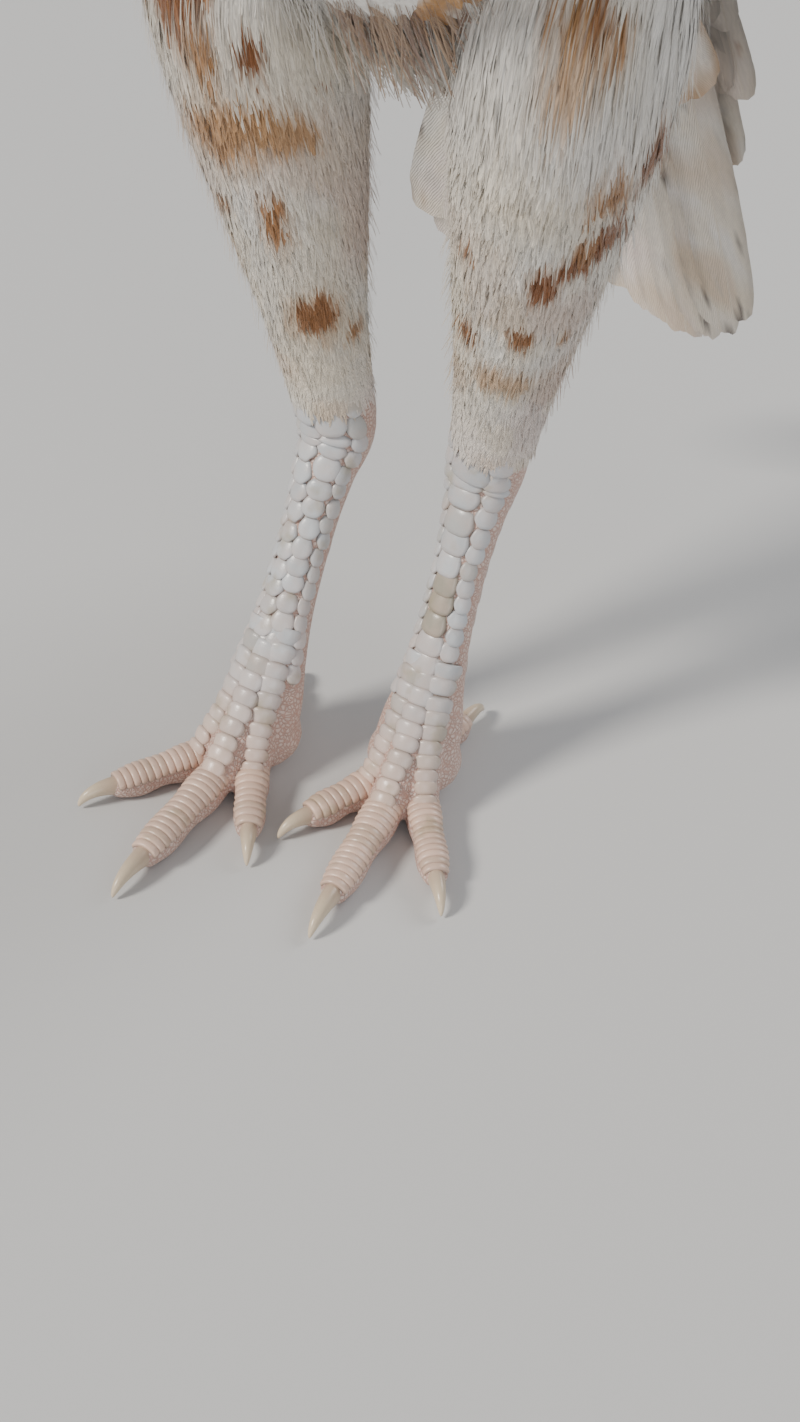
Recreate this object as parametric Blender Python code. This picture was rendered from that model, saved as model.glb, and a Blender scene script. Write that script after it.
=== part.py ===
"""An aseel hen standing on both feet, life size. Metres, +Z up, and the bird faces -Y.

The origin lies on the floor under the middle of the bird's box. Every soft or horny part is a tube
round a path, a plate or a feather vane laid on such a tube, or a union of these.
"""

import math
from bisect import bisect_right

import bmesh
import bpy
from mathutils import Matrix, Vector

# The gap that two nodes keep where they meet
GAP = 0.0003

# What the parts shift by, so that the origin comes under the middle of the bird's box
CENTRE_Y = -0.0326

# Stance: foot joints, hocks, knees and hips, each (outwards, backwards, up); one foot leads
FOOT = (0.025, 0.000, 0.0125)
STEP = -0.010
TOES_OUT = {1: math.radians(8), -1: math.radians(-2)}
HOCK = (0.0245, 0.035, 0.108)
KNEE = (0.0465, 0.009, 0.250)
HIP = (0.040, 0.034, 0.300)

# Leg sections: t (0 foot joint, 1 hock, 2 knee, 3 hip), half width, back radius, front radius
LEG = (
    (0.00, 0.0148, 0.0118, 0.0120),
    (0.12, 0.0138, 0.0104, 0.0104),
    (0.25, 0.0110, 0.0092, 0.0088),
    (0.42, 0.0086, 0.0084, 0.0077),
    (0.68, 0.0080, 0.0086, 0.0077),
    (0.86, 0.0094, 0.0102, 0.0090),
    (1.00, 0.0118, 0.0126, 0.0108),
    (1.12, 0.0122, 0.0124, 0.0115),
    (1.30, 0.0156, 0.0155, 0.0150),
    (1.55, 0.0210, 0.0230, 0.0205),
    (1.80, 0.0256, 0.0305, 0.0268),
    (2.05, 0.0270, 0.0345, 0.0300),
    (2.50, 0.0250, 0.0330, 0.0300),
    (3.00, 0.0180, 0.0240, 0.0220),
)
FOOT_END = 0.13
HOCK_SEAM = 1.16
LEG_SIDES = 14
SHANK_STOPS = (0.20, 0.30, 0.42, 0.60, 0.78, 0.90, 0.97, 1.05)

# Shank plates: columns as (angle round the leg, half width), their count, and how high they stand
SHANK_COLUMNS = ((-112, 0.46), (-66, 0.40))
SHANK_PLATES = 9
PLATE_HEIGHT = 0.0011

# Toes: name, turn from straight ahead outwards, length, half width at the root and end, claw, scutes
TOES = (
    ("middle", 0, 0.060, 0.0071, 0.0054, 0.0175, 13),
    ("inner", -30, 0.038, 0.0066, 0.0050, 0.0130, 8),
    ("outer", 31, 0.046, 0.0065, 0.0049, 0.0140, 10),
    ("hallux", 168, 0.026, 0.0057, 0.0046, 0.0145, 5),
)
SCUTE_HEIGHT = 0.0008
TOE_SIDES = 8

# Trunk and neck along one path from rump to head: t, y, z, half width, back radius, belly radius
TRUNK = (
    (0.00, 0.116, 0.246, 0.0260, 0.0220, 0.0270),
    (0.08, 0.097, 0.264, 0.0390, 0.0290, 0.0490),
    (0.22, 0.062, 0.294, 0.0570, 0.0400, 0.0730),
    (0.38, 0.022, 0.330, 0.0700, 0.0470, 0.0820),
    (0.54, -0.016, 0.368, 0.0760, 0.0490, 0.0800),
    (0.66, -0.043, 0.401, 0.0740, 0.0460, 0.0720),
    (0.75, -0.060, 0.428, 0.0610, 0.0410, 0.0560),
    (0.82, -0.071, 0.454, 0.0440, 0.0350, 0.0410),
    (0.90, -0.078, 0.486, 0.0310, 0.0285, 0.0290),
    (0.96, -0.077, 0.516, 0.0215, 0.0215, 0.0200),
    (1.00, -0.074, 0.541, 0.0172, 0.0168, 0.0160),
    (1.04, -0.073, 0.560, 0.0122, 0.0120, 0.0120),
)
NECK_START = 0.80
TRUNK_SIDES = 20

# Wing: the tube its feathers lie on, the pad's thickness by t, and its lower and upper edge angles
WING = (
    (-0.40, 0.205, 0.150, 0.0340, 0.0320, 0.0400),
    (-0.15, 0.151, 0.210, 0.0430, 0.0390, 0.0480),
    (0.00, 0.116, 0.246, 0.0510, 0.0430, 0.0560),
    (0.20, 0.067, 0.290, 0.0640, 0.0480, 0.0740),
    (0.38, 0.022, 0.330, 0.0745, 0.0510, 0.0860),
    (0.54, -0.016, 0.368, 0.0785, 0.0515, 0.0825),
    (0.66, -0.043, 0.401, 0.0765, 0.0485, 0.0745),
    (0.78, -0.065, 0.439, 0.0570, 0.0400, 0.0530),
)
WING_PAD = (
    (0.755, 0.0050, -2, 20),
    (0.740, 0.0090, -12, 32),
    (0.710, 0.0130, -21, 43),
    (0.650, 0.0165, -27, 51),
    (0.560, 0.0165, -28, 55),
    (0.460, 0.0145, -27, 58),
    (0.380, 0.0135, -26, 60),
    (0.330, 0.0125, -25, 60),
)
# Flight feathers from the lowest primary to the innermost secondary: tip t, tip angle, width
FLIGHTS = (
    (0.02, 2, 0.018),
    (-0.04, 9, 0.019),
    (-0.09, 16, 0.019),
    (-0.12, 23, 0.020),
    (-0.13, 29, 0.020),
    (-0.08, 35, 0.024),
    (-0.06, 41, 0.024),
    (-0.03, 47, 0.024),
    (0.00, 52, 0.024),
    (0.02, 57, 0.023),
    (0.07, 62, 0.022),
    (0.12, 67, 0.021),
)
FLIGHT_ROOTS = (0.40, -20, 55)
FLIGHT_SLOPE = 0.25
COVERTS = 8
COVERT_LIFT = 0.0082
VANE_THICK = 0.0005
VANE_SECTION = ((-1, 1), (0, 1.4), (1, 1), (1, 0), (0, 0), (-1, 0))
VANE = ((0.0, 0.25), (0.35, 0.80), (0.78, 1.0), (0.93, 0.80), (1.0, 0.35))

# Tail: root, droop, the core's sections (reach, half width, depth), and its feathers
TAIL_ROOT = (0.107, 0.253)
TAIL_DROOP = math.radians(68)
TAIL_CORE = (
    (0.000, 0.0260, 0.0225),
    (0.014, 0.0265, 0.0245),
    (0.028, 0.0235, 0.0225),
    (0.040, 0.0170, 0.0170),
    (0.048, 0.0090, 0.0110),
)
TAIL_RIDGE = 0.0100
TAIL_ROOF = math.radians(18)
TAIL_LENGTH = 0.160
TAIL_WIDTH = 0.029
RECTRICES = 6
TAIL_COVERTS = 3
VANE_PITCH = 0.0010

# Head: its middle, how far the bill points down, and its sections from nape to bill base
HEAD = (0.0, -0.079, 0.556)
HEAD_PITCH = math.radians(10)
SKULL = (
    (-0.0270, 0.0060, 0.0060, 0.0065),
    (-0.0245, 0.0115, 0.0110, 0.0120),
    (-0.0170, 0.0160, 0.0150, 0.0175),
    (-0.0060, 0.0178, 0.0168, 0.0195),
    (0.0050, 0.0165, 0.0160, 0.0180),
    (0.0130, 0.0130, 0.0132, 0.0150),
    (0.0190, 0.0098, 0.0105, 0.0120),
    (0.0225, 0.0070, 0.0075, 0.0085),
)
EYE_PLACE = (0.0025, 0.0108, 0.0030)
EYE_RADIUS = 0.0064
BILL_LENGTH = 0.0260
BILL_START = 0.0150
COMB = ((0.0000, 6, 0.0052), (0.0038, 3, 0.0036), (-0.0038, 3, 0.0036))
COMB_SPAN = (-0.004, 0.020)


def along(a, b, share):
    return a + (b - a) * share


def through(stations, t):
    """The values at t on a smooth curve through stations of (t, value, value, ...)."""
    last = len(stations) - 1
    i = min(max(bisect_right([s[0] for s in stations], t) - 1, 0), last - 1)
    a, b = stations[i], stations[i + 1]
    before, after = stations[max(i - 1, 0)], stations[min(i + 2, last)]
    span = b[0] - a[0]
    x = (t - a[0]) / span
    values = []
    for k in range(1, len(a)):
        leave = (b[k] - before[k]) / (b[0] - before[0]) * span
        arrive = (after[k] - a[k]) / (after[0] - a[0]) * span
        values.append(
            a[k] * (1 + 2 * x) * (1 - x) ** 2
            + leave * x * (1 - x) ** 2
            + b[k] * x * x * (3 - 2 * x)
            + arrive * x * x * (x - 1)
        )
    return values


class Tube:
    """A tube round a path. Its stations are (t, x, y, z, half width, back radius, front radius)."""

    def __init__(self, stations, side=(1, 0, 0)):
        self.stations = stations
        self.side = Vector(side)

    def path(self, t):
        return Vector(through(self.stations, t)[:3])

    def radii(self, t):
        return through(self.stations, t)[3:6]

    def frame(self, t):
        """The path's point at t, and the directions to the tube's side and its back."""
        a = max(t - 0.01, self.stations[0][0])
        b = min(t + 0.01, self.stations[-1][0])
        heading = (self.path(b) - self.path(a)).normalized()
        side = (self.side - heading * self.side.dot(heading)).normalized()
        return self.path(t), side, heading.cross(side)

    def point(self, t, angle, lift=0.0):
        """A point on the skin, or lift above it. The angle runs from the side towards the back."""
        centre, side, back = self.frame(t)
        width, rear, front = self.radii(t)
        depth = rear if math.sin(angle) > 0 else front
        out = side * (math.cos(angle) / width) + back * (math.sin(angle) / depth)
        skin = side * (width * math.cos(angle)) + back * (depth * math.sin(angle))
        return centre + skin + out.normalized() * lift

    def arc(self, t, angle):
        """How far the skin runs for each radian at this place."""
        width, rear, front = self.radii(t)
        depth = rear if math.sin(angle) > 0 else front
        return math.hypot(width * math.sin(angle), depth * math.cos(angle))


def sided(angle, hand):
    """An angle in degrees on the left (hand 1), in radians, or the one that mirrors it."""
    return math.radians(angle if hand > 0 else 180 - angle)


def solid(name, points, faces, look):
    """A mesh object of these points and faces, facing out."""
    mesh = bpy.data.meshes.new(name)
    mesh.from_pydata([tuple(p) for p in points], [], faces)
    shell = bmesh.new()
    shell.from_mesh(mesh)
    bmesh.ops.remove_doubles(shell, verts=shell.verts, dist=1e-6)
    bmesh.ops.recalc_face_normals(shell, faces=shell.faces)
    shell.to_mesh(mesh)
    shell.free()
    mesh.materials.append(look)
    mesh.shade_smooth()
    obj = bpy.data.objects.new(name, mesh)
    bpy.context.scene.collection.objects.link(obj)
    return obj


def loft(name, rings, look, flat=False):
    """A closed body through rings of equal count, each quad split alike.

    A fan closes each end, or for a flat ring, whose second half runs back under the first, a strip.
    """
    count = len(rings[0])
    points = [p for ring in rings for p in ring]
    faces = []
    for i in range(len(rings) - 1):
        for k in range(count):
            a, b = i * count + k, i * count + (k + 1) % count
            faces += [(a, b, b + count), (a, b + count, a + count)]
    for start, ring in ((0, rings[0]), ((len(rings) - 1) * count, rings[-1])):
        if flat:
            for k in range(count // 2 - 1):
                a, b = start + k, start + count - 1 - k
                faces += [(a, a + 1, b - 1), (a, b - 1, b)]
        else:
            points.append(sum(ring, Vector()) / count)
            for k in range(count):
                faces.append((start + k, start + (k + 1) % count, len(points) - 1))
    return solid(name, points, faces, look)


def tube_body(name, tube, stops, sides, look, lift=None):
    """The stretch of a tube through these values of t. lift(t, angle) raises its skin."""
    rings = []
    for t in stops:
        angles = [math.tau * k / sides for k in range(sides)]
        rings.append([tube.point(t, angle, lift(t, angle) if lift else 0.0) for angle in angles])
    return loft(name, rings, look)


def stops(start, end, steps):
    return [along(start, end, i / steps) for i in range(steps + 1)]


def ellipsoid(name, middle, forward, up, radii, look, sides=14, rows=8):
    """An ellipsoid with radii along forward, the side and up."""
    forward, up = Vector(forward).normalized(), Vector(up).normalized()
    side = forward.cross(up)
    rings = []
    for i in range(rows + 1):
        polar = math.pi * along(0.06, 0.94, i / rows)
        centre = Vector(middle) - forward * (radii[0] * math.cos(polar))
        ring = []
        for k in range(sides):
            angle = math.tau * k / sides
            across = side * (radii[1] * math.cos(angle)) + up * (radii[2] * math.sin(angle))
            ring.append(centre + across * math.sin(polar))
        rings.append(ring)
    return loft(name, rings, look)


def plate(tube, t, angle, half_t, half_angle, height, look, sides=6, sink=0.0012):
    """A low dome on a tube's skin, with half sizes in t and in radians."""
    rings = []
    for scale, lift in ((1.05, -sink), (0.72, height)):
        ring = []
        for k in range(sides):
            turn = math.tau * (k + 0.5) / sides
            place = t + half_t * scale * math.cos(turn)
            ring.append(tube.point(place, angle + half_angle * scale * math.sin(turn), lift))
        rings.append(ring)
    return loft("plate", rings, look)


def vane(tube, root, tip, width, lift, slope, look):
    """A feather on a tube's skin from root to tip, each (t, angle): a thin plate with a raised shaft.

    Across the feather the lift grows by slope towards larger angles.
    """
    rings = []
    for share, part in VANE:
        t = along(root[0], tip[0], share)
        middle = along(root[1], tip[1], share)
        half = 0.5 * width * part
        reach = half / tube.arc(t, middle)
        ring = []
        for across, up in VANE_SECTION:
            rise = lift + 0.5 * width * abs(slope) + slope * across * half + VANE_THICK * up
            ring.append(tube.point(t, middle + across * reach, rise))
        rings.append(ring)
    return loft("vane", rings, look, flat=True)


def apply_modifiers(obj):
    graph = bpy.context.evaluated_depsgraph_get()
    mesh = bpy.data.meshes.new_from_object(obj.evaluated_get(graph))
    obj.modifiers.clear()
    obj.data = mesh


def welded(mesh):
    """The surface with its shortest edges and thinnest triangles closed up, while it stays closed."""
    for reach in (4e-5, 2e-5, 1e-5, 1e-6):
        shell = bmesh.new()
        shell.from_mesh(mesh)
        bmesh.ops.remove_doubles(shell, verts=shell.verts, dist=reach)
        bmesh.ops.dissolve_degenerate(shell, dist=reach, edges=shell.edges)
        bmesh.ops.triangulate(shell, faces=shell.faces)
        if all(len(edge.link_faces) == 2 for edge in shell.edges):
            break
    return shell


def keep_largest(obj):
    """Leaves only the closed surface with the largest volume."""
    shell = welded(obj.data)
    left, bodies = set(shell.verts), []
    while left:
        found, edge = set(), [left.pop()]
        while edge:
            vert = edge.pop()
            found.add(vert)
            near = {e.other_vert(vert) for e in vert.link_edges} & left
            left -= near
            edge += near
        faces = {f for v in found for f in v.link_faces}
        volume = sum(f.verts[0].co.dot(f.verts[1].co.cross(f.verts[2].co)) for f in faces)
        bodies.append((abs(volume), found))
    bodies.sort(key=lambda body: body[0])
    for _, verts in bodies[:-1]:
        bmesh.ops.delete(shell, geom=list(verts), context="VERTS")
    shell.to_mesh(obj.data)
    shell.free()


def boolean(obj, operation, others, solver="EXACT"):
    """Joins others to obj or cuts them from it in one Boolean, and removes them."""
    group = bpy.data.collections.new("operands")
    for other in others:
        bpy.context.scene.collection.objects.unlink(other)
        group.objects.link(other)
    bpy.context.scene.collection.children.link(group)
    modifier = obj.modifiers.new(operation.lower(), "BOOLEAN")
    modifier.operation = operation
    modifier.operand_type = "COLLECTION"
    modifier.collection = group
    modifier.solver = solver
    bpy.context.view_layer.update()
    apply_modifiers(obj)
    for other in list(group.objects):
        bpy.data.objects.remove(other)
    bpy.data.collections.remove(group)
    keep_largest(obj)
    return obj


def fused(name, pieces, solver="EXACT"):
    """One closed body of pieces that overlap."""
    body = pieces[0]
    body.name = name
    if len(pieces) > 1:
        boolean(body, "UNION", pieces[1:], solver)
    return body


def swollen(obj, by):
    """A copy of obj, its points moved out by a distance."""
    copy = obj.copy()
    copy.data = obj.data.copy()
    bpy.context.scene.collection.objects.link(copy)
    normals = [v.normal.copy() for v in copy.data.vertices]
    for vert, normal in zip(copy.data.vertices, normals):
        vert.co += normal * by
    return copy


def mirrored(obj, name):
    """A copy of obj on the bird's other side."""
    copy = obj.copy()
    copy.name = name
    copy.data = obj.data.copy()
    copy.data.transform(Matrix.Scale(-1, 4, (1, 0, 0)))
    copy.data.flip_normals()
    bpy.context.scene.collection.objects.link(copy)
    return copy


def clear_of(obj, *others, solver="EXACT"):
    """Cuts obj back so that it keeps the gap to others."""
    return boolean(obj, "DIFFERENCE", [swollen(other, 1.4 * GAP) for other in others], solver)


def settle(obj):
    """Flattens what reaches under the floor, so that a sole rests on small flats."""
    for vert in obj.data.vertices:
        vert.co.z = max(vert.co.z, 0.0)
    return obj


def new_look(name, colour, roughness):
    material = bpy.data.materials.new(name)
    material.use_nodes = True
    shader = material.node_tree.nodes["Principled BSDF"]
    shader.inputs["Base Color"].default_value = (*colour, 1)
    shader.inputs["Roughness"].default_value = roughness
    return material


def trunk_tube():
    return Tube([(t, 0.0, y, z, w, b, f) for t, y, z, w, b, f in TRUNK])


def torso_and_neck(looks):
    trunk = trunk_tube()
    torso = tube_body("torso", trunk, stops(0.0, NECK_START, 16), TRUNK_SIDES, looks["plumage"])
    length = (trunk.path(NECK_START + 0.01) - trunk.path(NECK_START)).length / 0.01
    start = NECK_START + GAP / length
    neck = tube_body("neck", trunk, stops(start, 1.04, 8), TRUNK_SIDES, looks["plumage"])
    return torso, neck


def wing(hand, name, looks):
    """A folded wing: a pad with the flight feathers rooted in it and a tier of coverts over them."""
    tube = Tube([(t, 0.0, y, z, w, b, f) for t, y, z, w, b, f in WING])
    feather = looks["plumage"]
    rings = []
    for t, thick, low, high in WING_PAD:
        outer = []
        for k in range(7):
            bulge = 0.30 + 0.70 * math.sin(math.pi * k / 6) ** 0.7
            outer.append(tube.point(t, sided(along(low, high, k / 6), hand), thick * bulge))
        inner = [tube.point(t, sided(along(high, low, k / 6), hand), 0.0) for k in range(7)]
        rings.append(outer + inner)
    pieces = [loft(name, rings, feather, flat=True)]
    last = len(FLIGHTS) - 1
    for k, (tip_t, tip_angle, width) in enumerate(FLIGHTS):
        root = FLIGHT_ROOTS[0], sided(along(FLIGHT_ROOTS[1], FLIGHT_ROOTS[2], k / last), hand)
        tip = tip_t, sided(tip_angle, hand)
        pieces.append(vane(tube, root, tip, width, 0.0006, -hand * FLIGHT_SLOPE, feather))
    for k in range(COVERTS):
        share = k / (COVERTS - 1)
        root = 0.43, sided(along(-19, 54, share), hand)
        tip = along(0.16, 0.22, share), sided(along(-12, 60, share), hand)
        pieces.append(vane(tube, root, tip, 0.021, COVERT_LIFT, -hand * 0.14, feather))
    return fused(name, pieces, "MANIFOLD")


def flat_vane(root, heading, normal, length, width, look):
    """A feather in a plane, its tip drooping a little under it."""
    across = heading.cross(normal)
    rings = []
    for share, part in VANE:
        centre = root + heading * (length * share) - normal * (0.005 * share * share)
        half = 0.5 * width * part
        rings.append([centre + across * (half * a) + normal * (VANE_THICK * up) for a, up in VANE_SECTION])
    return loft("vane", rings, look, flat=True)


def tail(looks):
    """A drooping tail like a roof: a stack of feathers a side, the middle pair on top, then coverts."""
    axis = Vector((0, math.cos(TAIL_DROOP), -math.sin(TAIL_DROOP)))
    over = Vector((0, math.sin(TAIL_DROOP), math.cos(TAIL_DROOP)))
    root = Vector((0, *TAIL_ROOT))
    feather = looks["plumage"]
    rings = []
    for reach, width, depth in TAIL_CORE:
        ring = []
        for k in range(16):
            angle = math.tau * k / 16
            around = Vector((width * math.cos(angle), 0, 0)) + over * (depth * math.sin(angle))
            ring.append(root + axis * reach + around)
        rings.append(ring)
    pieces = [loft("tail", rings, feather)]
    base = root + over * TAIL_RIDGE + axis * 0.010
    for hand in (-1, 1):
        side = Vector((hand, 0, 0))
        out = side * math.cos(TAIL_ROOF) - over * math.sin(TAIL_ROOF)
        normal = over * math.cos(TAIL_ROOF) + side * math.sin(TAIL_ROOF)
        for k in range(RECTRICES + TAIL_COVERTS):
            covert = k >= RECTRICES
            place = k - RECTRICES if covert else k
            level = RECTRICES + 1.4 + TAIL_COVERTS - place if covert else RECTRICES - k
            spread = 0.0055 + (0.0045 if covert else 0.0030) * place
            start = base + out * spread + normal * (VANE_PITCH * level)
            turn = math.radians(5.0 + 9.0 * place if covert else 3.6 + 2.9 * place)
            heading = axis * math.cos(turn) + out * math.sin(turn)
            length = 0.062 - 0.004 * place if covert else TAIL_LENGTH * (1 - 0.0072 * place**2)
            width = 0.021 if covert else TAIL_WIDTH
            pieces.append(flat_vane(start, heading, normal, length, width, feather))
    start = base + over * (VANE_PITCH * (RECTRICES + 1.6))
    pieces.append(flat_vane(start, axis, over, TAIL_LENGTH, TAIL_WIDTH, feather))
    return fused("tail", pieces, "MANIFOLD")


def leg_tube(hand):
    joints = [FOOT, HOCK, KNEE, HIP]
    shifts = [-hand * STEP, -0.4 * hand * STEP, -0.1 * hand * STEP, 0.0]
    places = [Vector((hand * j[0], j[1] + s, j[2])) for j, s in zip(joints, shifts)]
    stations = []
    for t, width, back, front in LEG:
        i = min(int(t), 2)
        place = places[i].lerp(places[i + 1], t - i)
        stations.append((t, *place, width, back, front))
    return Tube(stations)


def toe_tube(hand, turn, length, wide, narrow):
    """A toe lies along the floor from the foot joint, its pads pressed a little flat."""
    angle = hand * (math.radians(turn) + TOES_OUT[hand])
    ahead = Vector((math.sin(angle), -math.cos(angle), 0.0))
    joint = leg_tube(hand).path(0.0)
    start = Vector((joint.x, joint.y, 0.0)) + ahead * 0.004
    stations = []
    for share, swell in ((0.0, 1.05), (0.25, 0.93), (0.45, 1.0), (0.62, 0.90), (0.85, 0.98), (1.0, 0.80)):
        radius = along(wide, narrow, share) * swell
        place = start + ahead * (length * share) + Vector((0, 0, along(wide, narrow, share) * 0.86))
        stations.append((share, *place, radius, radius * 0.92, radius * 0.98))
    return Tube(stations, side=(math.cos(angle), math.sin(angle), 0.0)), ahead


def foot_and_toes(hand, letter, looks):
    """The knuckle where the toes meet, four scuted toes and their claws."""
    scale = looks["scale"]
    leg = leg_tube(hand)
    joint = leg.path(0.0)
    middle = joint - Vector((0, 0, 0.002))
    radii = (0.0150, 0.0160, 0.0118)
    knuckle = ellipsoid("knuckle", middle, (0, -1, 0), (0, 0, 1), radii, scale, 12, 6)
    stem = tube_body("stem", leg, stops(0.0, FOOT_END, 3), LEG_SIDES, scale)
    foot = settle(fused(f"foot_{letter}", [stem, knuckle]))
    toes = []
    for name, turn, length, wide, narrow, claw, scutes in TOES:
        tube, ahead = toe_tube(hand, turn, length, wide, narrow)
        rings = []
        for i in range(scutes):
            for share, lift in ((0.06, 0.0), (0.94, SCUTE_HEIGHT)):
                t = (i + share) / scutes
                ring = []
                for k in range(TOE_SIDES):
                    angle = math.tau * k / TOE_SIDES
                    top = max(0.0, math.sin(angle)) ** 0.5
                    ring.append(tube.point(t, angle, lift * top))
                rings.append(ring)
        for beyond, inset in ((0.03, -0.0006), (0.05, -0.0022)):
            turns = [math.tau * k / TOE_SIDES for k in range(TOE_SIDES)]
            rings.append([tube.point(1.0, a, inset) + ahead * beyond * length for a in turns])
        toe = settle(loft(f"toe_{letter}_{name}", rings, scale))
        clear_of(toe, foot, *toes)
        toes.append(toe)
        claw_body(f"claw_{letter}_{name}", tube, ahead, length, claw, narrow, toe, looks["horn"])
    return foot, toes


def claw_body(name, tube, ahead, length, reach, width, toe, look):
    """A claw: a curved cone that leaves the toe's end and dips to the floor."""
    base = tube.path(1.0) - ahead * 0.0012
    rings = []
    for i in range(6):
        share = i / 5
        out = reach * math.sin(share * 1.35) / math.sin(1.35)
        rise = 0.0016 * math.sin(math.pi * share) - (base.z - 0.0008) * share**1.7
        centre = base + ahead * out + Vector((0, 0, rise))
        radius = 0.72 * width * (1 - share) ** 0.75 + 0.0003
        side = tube.side
        lean = -1.1 * share
        up = ahead * math.sin(-lean) + Vector((0, 0, 1)) * math.cos(lean)
        ring = []
        for k in range(6):
            angle = math.tau * k / 6
            ring.append(centre + side * (0.8 * radius * math.cos(angle)) + up * (radius * math.sin(angle)))
        rings.append(ring)
    claw = settle(loft(name, rings, look))
    return clear_of(claw, toe)


def shank_and_thigh(hand, letter, torso, looks):
    """The scaled shank up to the hock, and the feathered thigh cut back from the torso."""
    tube = leg_tube(hand)
    joint = (tube.path(FOOT_END + 0.01) - tube.path(FOOT_END)).length / 0.01
    run = (FOOT_END + GAP / joint, *SHANK_STOPS, HOCK_SEAM)
    shank = tube_body(f"shank_{letter}", tube, run, LEG_SIDES, looks["scale"])
    pieces = [shank]
    for column, (angle, half) in enumerate(SHANK_COLUMNS):
        for k in range(SHANK_PLATES):
            t = along(0.20, 1.02, (k + 0.5 * column) / SHANK_PLATES)
            long = 0.52 * 0.82 / SHANK_PLATES
            turn = sided(angle, hand)
            pieces.append(plate(tube, t, turn, long, half, PLATE_HEIGHT, looks["scale"]))
    shank = fused(f"shank_{letter}", pieces)
    joint = (tube.path(HOCK_SEAM + 0.01) - tube.path(HOCK_SEAM)).length / 0.01
    start = HOCK_SEAM + GAP / joint
    thigh = tube_body(f"thigh_{letter}", tube, stops(start, 3.0, 12), 16, looks["plumage"])
    clear_of(thigh, torso, solver="MANIFOLD")
    return shank, thigh


def head_point(forward, side, up):
    """A point given from the head's middle, along the bill, to the bird's left and up."""
    y = -forward * math.cos(HEAD_PITCH) - up * math.sin(HEAD_PITCH)
    z = -forward * math.sin(HEAD_PITCH) + up * math.cos(HEAD_PITCH)
    return Vector(HEAD) + Vector((side, y, z))


HEAD_FORWARD = head_point(1, 0, 0) - head_point(0, 0, 0)
HEAD_UP = head_point(0, 0, 1) - head_point(0, 0, 0)


def skull(looks):
    """The head with brow ridges, lids and ear cups."""
    rings = []
    for forward, width, top, bottom in SKULL:
        ring = []
        for k in range(16):
            angle = math.tau * k / 16
            up = (top if math.sin(angle) > 0 else bottom) * math.sin(angle)
            ring.append(head_point(forward, width * math.cos(angle), up))
        rings.append(ring)
    face = looks["face"]
    pieces = [loft("head", rings, face)]
    forward, side, up = EYE_PLACE
    for hand in (-1, 1):
        brow = head_point(forward - 0.001, hand * (side + 0.0012), up + 0.0080)
        radii = (0.0108, 0.0038, 0.0026)
        pieces.append(ellipsoid("brow", brow, HEAD_FORWARD, HEAD_UP, radii, face, 8, 5))
        lid = head_point(forward, hand * (side + 0.0046), up)
        radii = (0.0022, 0.0080, 0.0066)
        pieces.append(ellipsoid("lid", lid, (hand, 0, 0), HEAD_UP, radii, face, 12, 4))
        cheek = head_point(0.010, hand * 0.0085, -0.0085)
        radii = (0.0090, 0.0050, 0.0055)
        pieces.append(ellipsoid("cheek", cheek, HEAD_FORWARD, HEAD_UP, radii, face, 8, 4))
    head = fused("head", pieces)
    cups = []
    for hand in (-1, 1):
        cup = head_point(-0.0125, hand * 0.0190, -0.0010)
        radii = (0.0030, 0.0032, 0.0036)
        cups.append(ellipsoid("cup", cup, (hand, 0, 0), HEAD_UP, radii, face, 8, 4))
    return boolean(head, "DIFFERENCE", cups)


def eyes(head, looks):
    forward, side, up = EYE_PLACE
    cuts = []
    for hand, name in ((-1, "eye_r"), (1, "eye_l")):
        middle = head_point(forward, hand * side, up)
        out = Vector((hand, 0, 0))
        ball = ellipsoid(name, middle, out, HEAD_UP, (EYE_RADIUS,) * 3, looks["eye"], 12, 6)
        cuts.append(swollen(ball, 1.4 * GAP))
        radii = (0.0080, 0.0052, 0.0044)
        cuts.append(ellipsoid("hole", middle + out * 0.0085, out, HEAD_UP, radii, looks["eye"], 12, 4))
    boolean(head, "DIFFERENCE", cuts)


def bill_half(name, reach, start_drop, end_drop, width, height, lean, look):
    """One half of the bill. lean is 1 for the upper half, which arches up, and -1 for the lower."""
    rings = []
    for i in range(7):
        share = i / 6
        out = BILL_START + reach * math.sin(0.5 * math.pi * share)
        drop = along(start_drop, end_drop, share**2.4)
        wide = width * (1 - share**1.6) ** 0.8 + 0.0007
        high = height * (1 - share**1.7) ** 0.8 + 0.0010
        ring = []
        for k in range(10):
            angle = math.tau * k / 10
            rise = math.sin(angle)
            rise *= high if rise * lean > 0 else 0.0005
            ring.append(head_point(out, wide * math.cos(angle), drop + rise))
        rings.append(ring)
    return loft(name, rings, look)


def bill(head, looks):
    """Both halves of the bill, short and hooked, with nostrils."""
    horn = looks["horn"]
    short = BILL_LENGTH - 0.0065
    upper = bill_half("bill_upper", BILL_LENGTH, -0.0030, -0.0108, 0.0088, 0.0092, 1, horn)
    lower = bill_half("bill_lower", short, -0.0046, -0.0072, 0.0072, 0.0048, -1, horn)
    holes = []
    for hand in (-1, 1):
        middle = head_point(BILL_START + 0.0085, hand * 0.0078, 0.0012)
        radii = (0.0028, 0.0020, 0.0011)
        holes.append(ellipsoid("nostril", middle, HEAD_FORWARD, HEAD_UP, radii, horn, 6, 3))
    boolean(upper, "DIFFERENCE", holes)
    clear_of(upper, head)
    clear_of(lower, head, upper)
    return upper


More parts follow.
